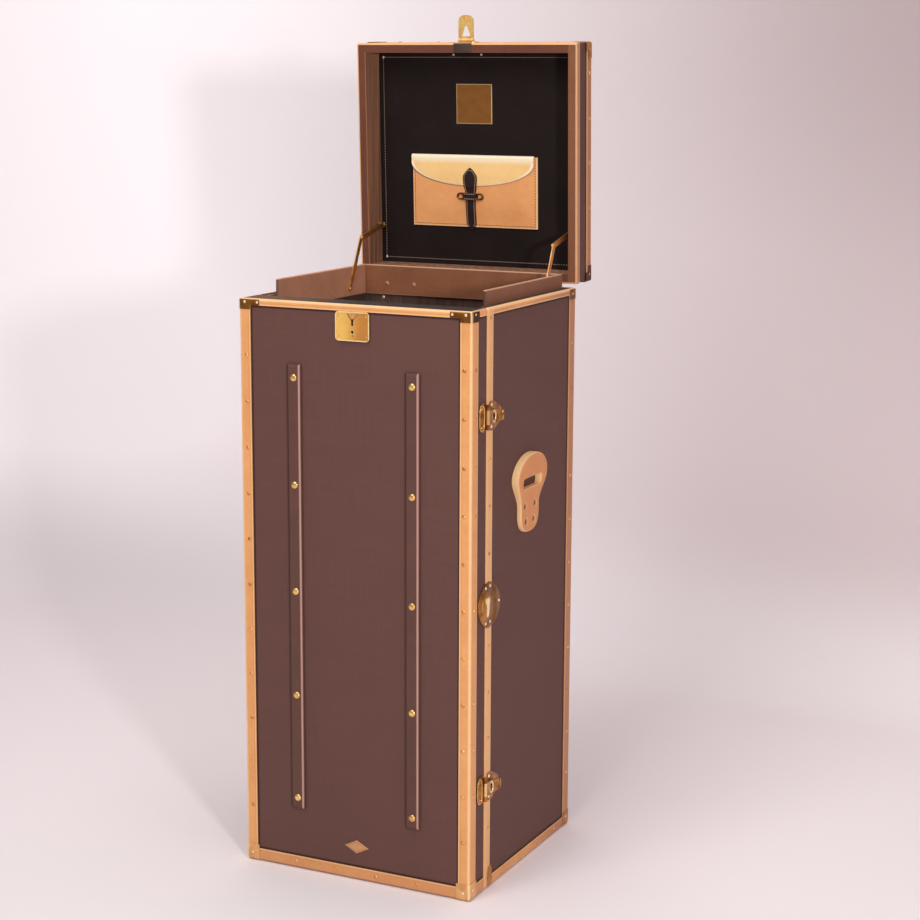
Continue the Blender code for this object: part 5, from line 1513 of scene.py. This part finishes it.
STAY_FACES = (0.2199, 0.2174)
STAY_PIVOT = (0.1450, 1.1269)
STAY_ELBOW = (0.1929, 1.2301)
STAY_LID = (0.29066, 1.25191)
stay_brass = brass_finish("stay_brass", (236, 180, 114), (190, 134, 80), 0.34)
dress(stay_brass, *[f"{side}_stay_{part}" for side in ("left", "right") for part in ("lower", "upper")])
for name, sense in (("left", 1), ("right", -1)):
    lower_face, upper_face = (board((-sense * out, 0, 0), (0, sense, 0), (0, 0, 1)) for out in STAY_FACES)
    pivot_head = heads(lower_face, sense * STAY_PIVOT[0], STAY_PIVOT[1], domed(0.0034, 0.4), sides=14)
    elbow_head = heads(upper_face, sense * STAY_ELBOW[0], STAY_ELBOW[1], domed(0.0042, 0.4, 0.0008), sides=14)
    lid_head = heads(upper_face, sense * STAY_LID[0], STAY_LID[1], domed(0.0034, 0.4), sides=14)
    add_piece(name + "_stay_lower_heads", [pivot_head, elbow_head], rivet_brass, name + "_stay_lower")
    add_piece(name + "_stay_upper_head", [lid_head], rivet_brass, name + "_stay_upper")


# Studio: a pale floor that sweeps up into a wall, which is seen through from behind, large soft
# lamps, and the camera.

STAGE_HALF = 7.0
WALL_AWAY = 1.55
SWEEP = 0.40
WALL_TOP = 6.0


def sweep_grid():
    """The floor runs back, bends up on a quarter circle and ends as a wall."""
    bend = np.linspace(0, math.pi / 2, 25)
    y = np.concatenate(((-8.0,), WALL_AWAY - SWEEP + SWEEP * np.sin(bend), (WALL_AWAY,)))
    z = np.concatenate(((0.0,), SWEEP * (1 - np.cos(bend)), (WALL_TOP,)))
    x = np.linspace(STAGE_HALF, -STAGE_HALF, 2)[:, None]
    return np.stack(np.broadcast_arrays(x, y, z), axis=-1)


def paper_finish():
    """Pale paper, greyer to the right of the wall and towards its top there as painted shade, with
    painted light on the lower left of the wall, where it glows for camera and glossy rays. It is seen
    from the front only."""
    material, place = begin("studio_paper")
    x, _, z = place.split()
    paths = place.node("ShaderNodeLightPath").socket.node.outputs
    seen = sum(Value(place.tree, paths["Is " + kind + " Ray"])
               for kind in ("Camera", "Glossy", "Transmission"))
    # Painted light: the lower left of the wall glows, though no lamp stands there.
    painted_glow = step(z, 0.05, 0.60) * (1.4 - step(z, 0.8, 1.6) * 0.4) * fall(x, -1.9, -0.6)
    # Painted shade: the wall greys to the right and upwards there.
    shaded_right_tone = tint(step(z, 0.5, 1.8), (216, 200, 201), (178, 160, 161))
    wall_tone = tint(step(x, -1.3, 0.75), (252, 243, 245), shaded_right_tone)
    paper_tone = tint(step(z, 0.0, 0.35), (240, 230, 231), wall_tone)
    lit = tint(seen.math("MINIMUM", 1.0) * painted_glow, (0, 0, 0), (255, 248, 251))
    paper_shader = place.node("ShaderNodeBsdfPrincipled", sockets={
        "Base Color": tint(cloud(place, 1.5) * 0.05, paper_tone, (240, 232, 234)),
        "Roughness": 0.9, "Emission Color": lit, "Emission Strength": 0.22})
    behind = place.node("ShaderNodeNewGeometry", output="Backfacing")
    clear_back = place.node("ShaderNodeBsdfTransparent")
    one_sided = place.node("ShaderNodeMixShader", sockets={0: behind, 1: paper_shader, 2: clear_back})
    place.node("ShaderNodeOutputMaterial", sockets={"Surface": one_sided})
    return material


stage_mesh = bpy.data.meshes.new("studio_sweep")
stage_points, stage_quads = skins(sweep_grid(), wrap=False)
stage_mesh.from_pydata(stage_points, [], stage_quads)
stage_mesh.polygons.foreach_set("use_smooth", np.ones(len(stage_mesh.polygons), bool))
stage_mesh.materials.append(paper_finish())
sweep = bpy.data.objects.new("studio_sweep", stage_mesh)
bpy.context.scene.collection.objects.link(sweep)


def looking(place, ahead, roll=0.0):
    """The matrix of a lamp or camera at a place that looks ahead, rolled about that line."""
    ahead = ahead / np.linalg.norm(ahead)
    right = np.cross(ahead, (0, 0, 1))
    right /= np.linalg.norm(right)
    up = np.cross(right, ahead)
    turned = (right * math.cos(roll) + up * math.sin(roll), up * math.cos(roll) - right * math.sin(roll))
    return Matrix.Translation(place) @ Matrix((turned[0], turned[1], -ahead)).transposed().to_4x4()


def lamp(name, place, aim, size, power, colour=(1.0, 1.0, 1.0)):
    """A square soft box at a place, turned to its aim."""
    data = bpy.data.lights.new(name, "AREA")
    data.size = size
    data.energy = power
    data.color = colour
    made = bpy.data.objects.new(name, data)
    made.matrix_world = looking(np.array(place, float), np.array(aim, float) - np.array(place, float))
    bpy.context.scene.collection.objects.link(made)


lamp("front_lamp", (-0.4, -3.3, 4.4), (0, 0, 0.6), 2.6, 106)
lamp("right_lamp", (3.5, -3.5, 1.8), (0, 0, 1.0), 0.35, 110)
lamp("top_lamp", (0.2, -0.4, 4.6), (0, 0.2, 0.0), 2.8, 70)
lamp("low_card", (-2.6, -4.6, 0.55), (0, -0.2, 1.0), 1.6, 6)
world = bpy.data.worlds.new("studio_air")
world.use_nodes = True
world.node_tree.nodes["Background"].inputs["Color"].default_value = (0.92, 0.88, 0.90, 1.0)
world.node_tree.nodes["Background"].inputs["Strength"].default_value = 0.16
bpy.context.scene.world = world

CAMERA_PLACE = np.array((1.8751, -3.5946, 1.5799))
CAMERA_YAW = math.radians(26.18)
CAMERA_PITCH = math.radians(10.80)
CAMERA_ROLL = math.radians(0.25)
lens = bpy.data.cameras.new("camera")
lens.sensor_width = 36.0
lens.lens = 80.294
level = math.cos(CAMERA_PITCH)
ahead = np.array((-math.sin(CAMERA_YAW) * level, math.cos(CAMERA_YAW) * level, -math.sin(CAMERA_PITCH)))
camera = bpy.data.objects.new("camera", lens)
camera.matrix_world = looking(CAMERA_PLACE, ahead, CAMERA_ROLL)
bpy.context.scene.collection.objects.link(camera)
bpy.context.scene.camera = camera
bpy.context.scene.view_settings.view_transform = "Standard"
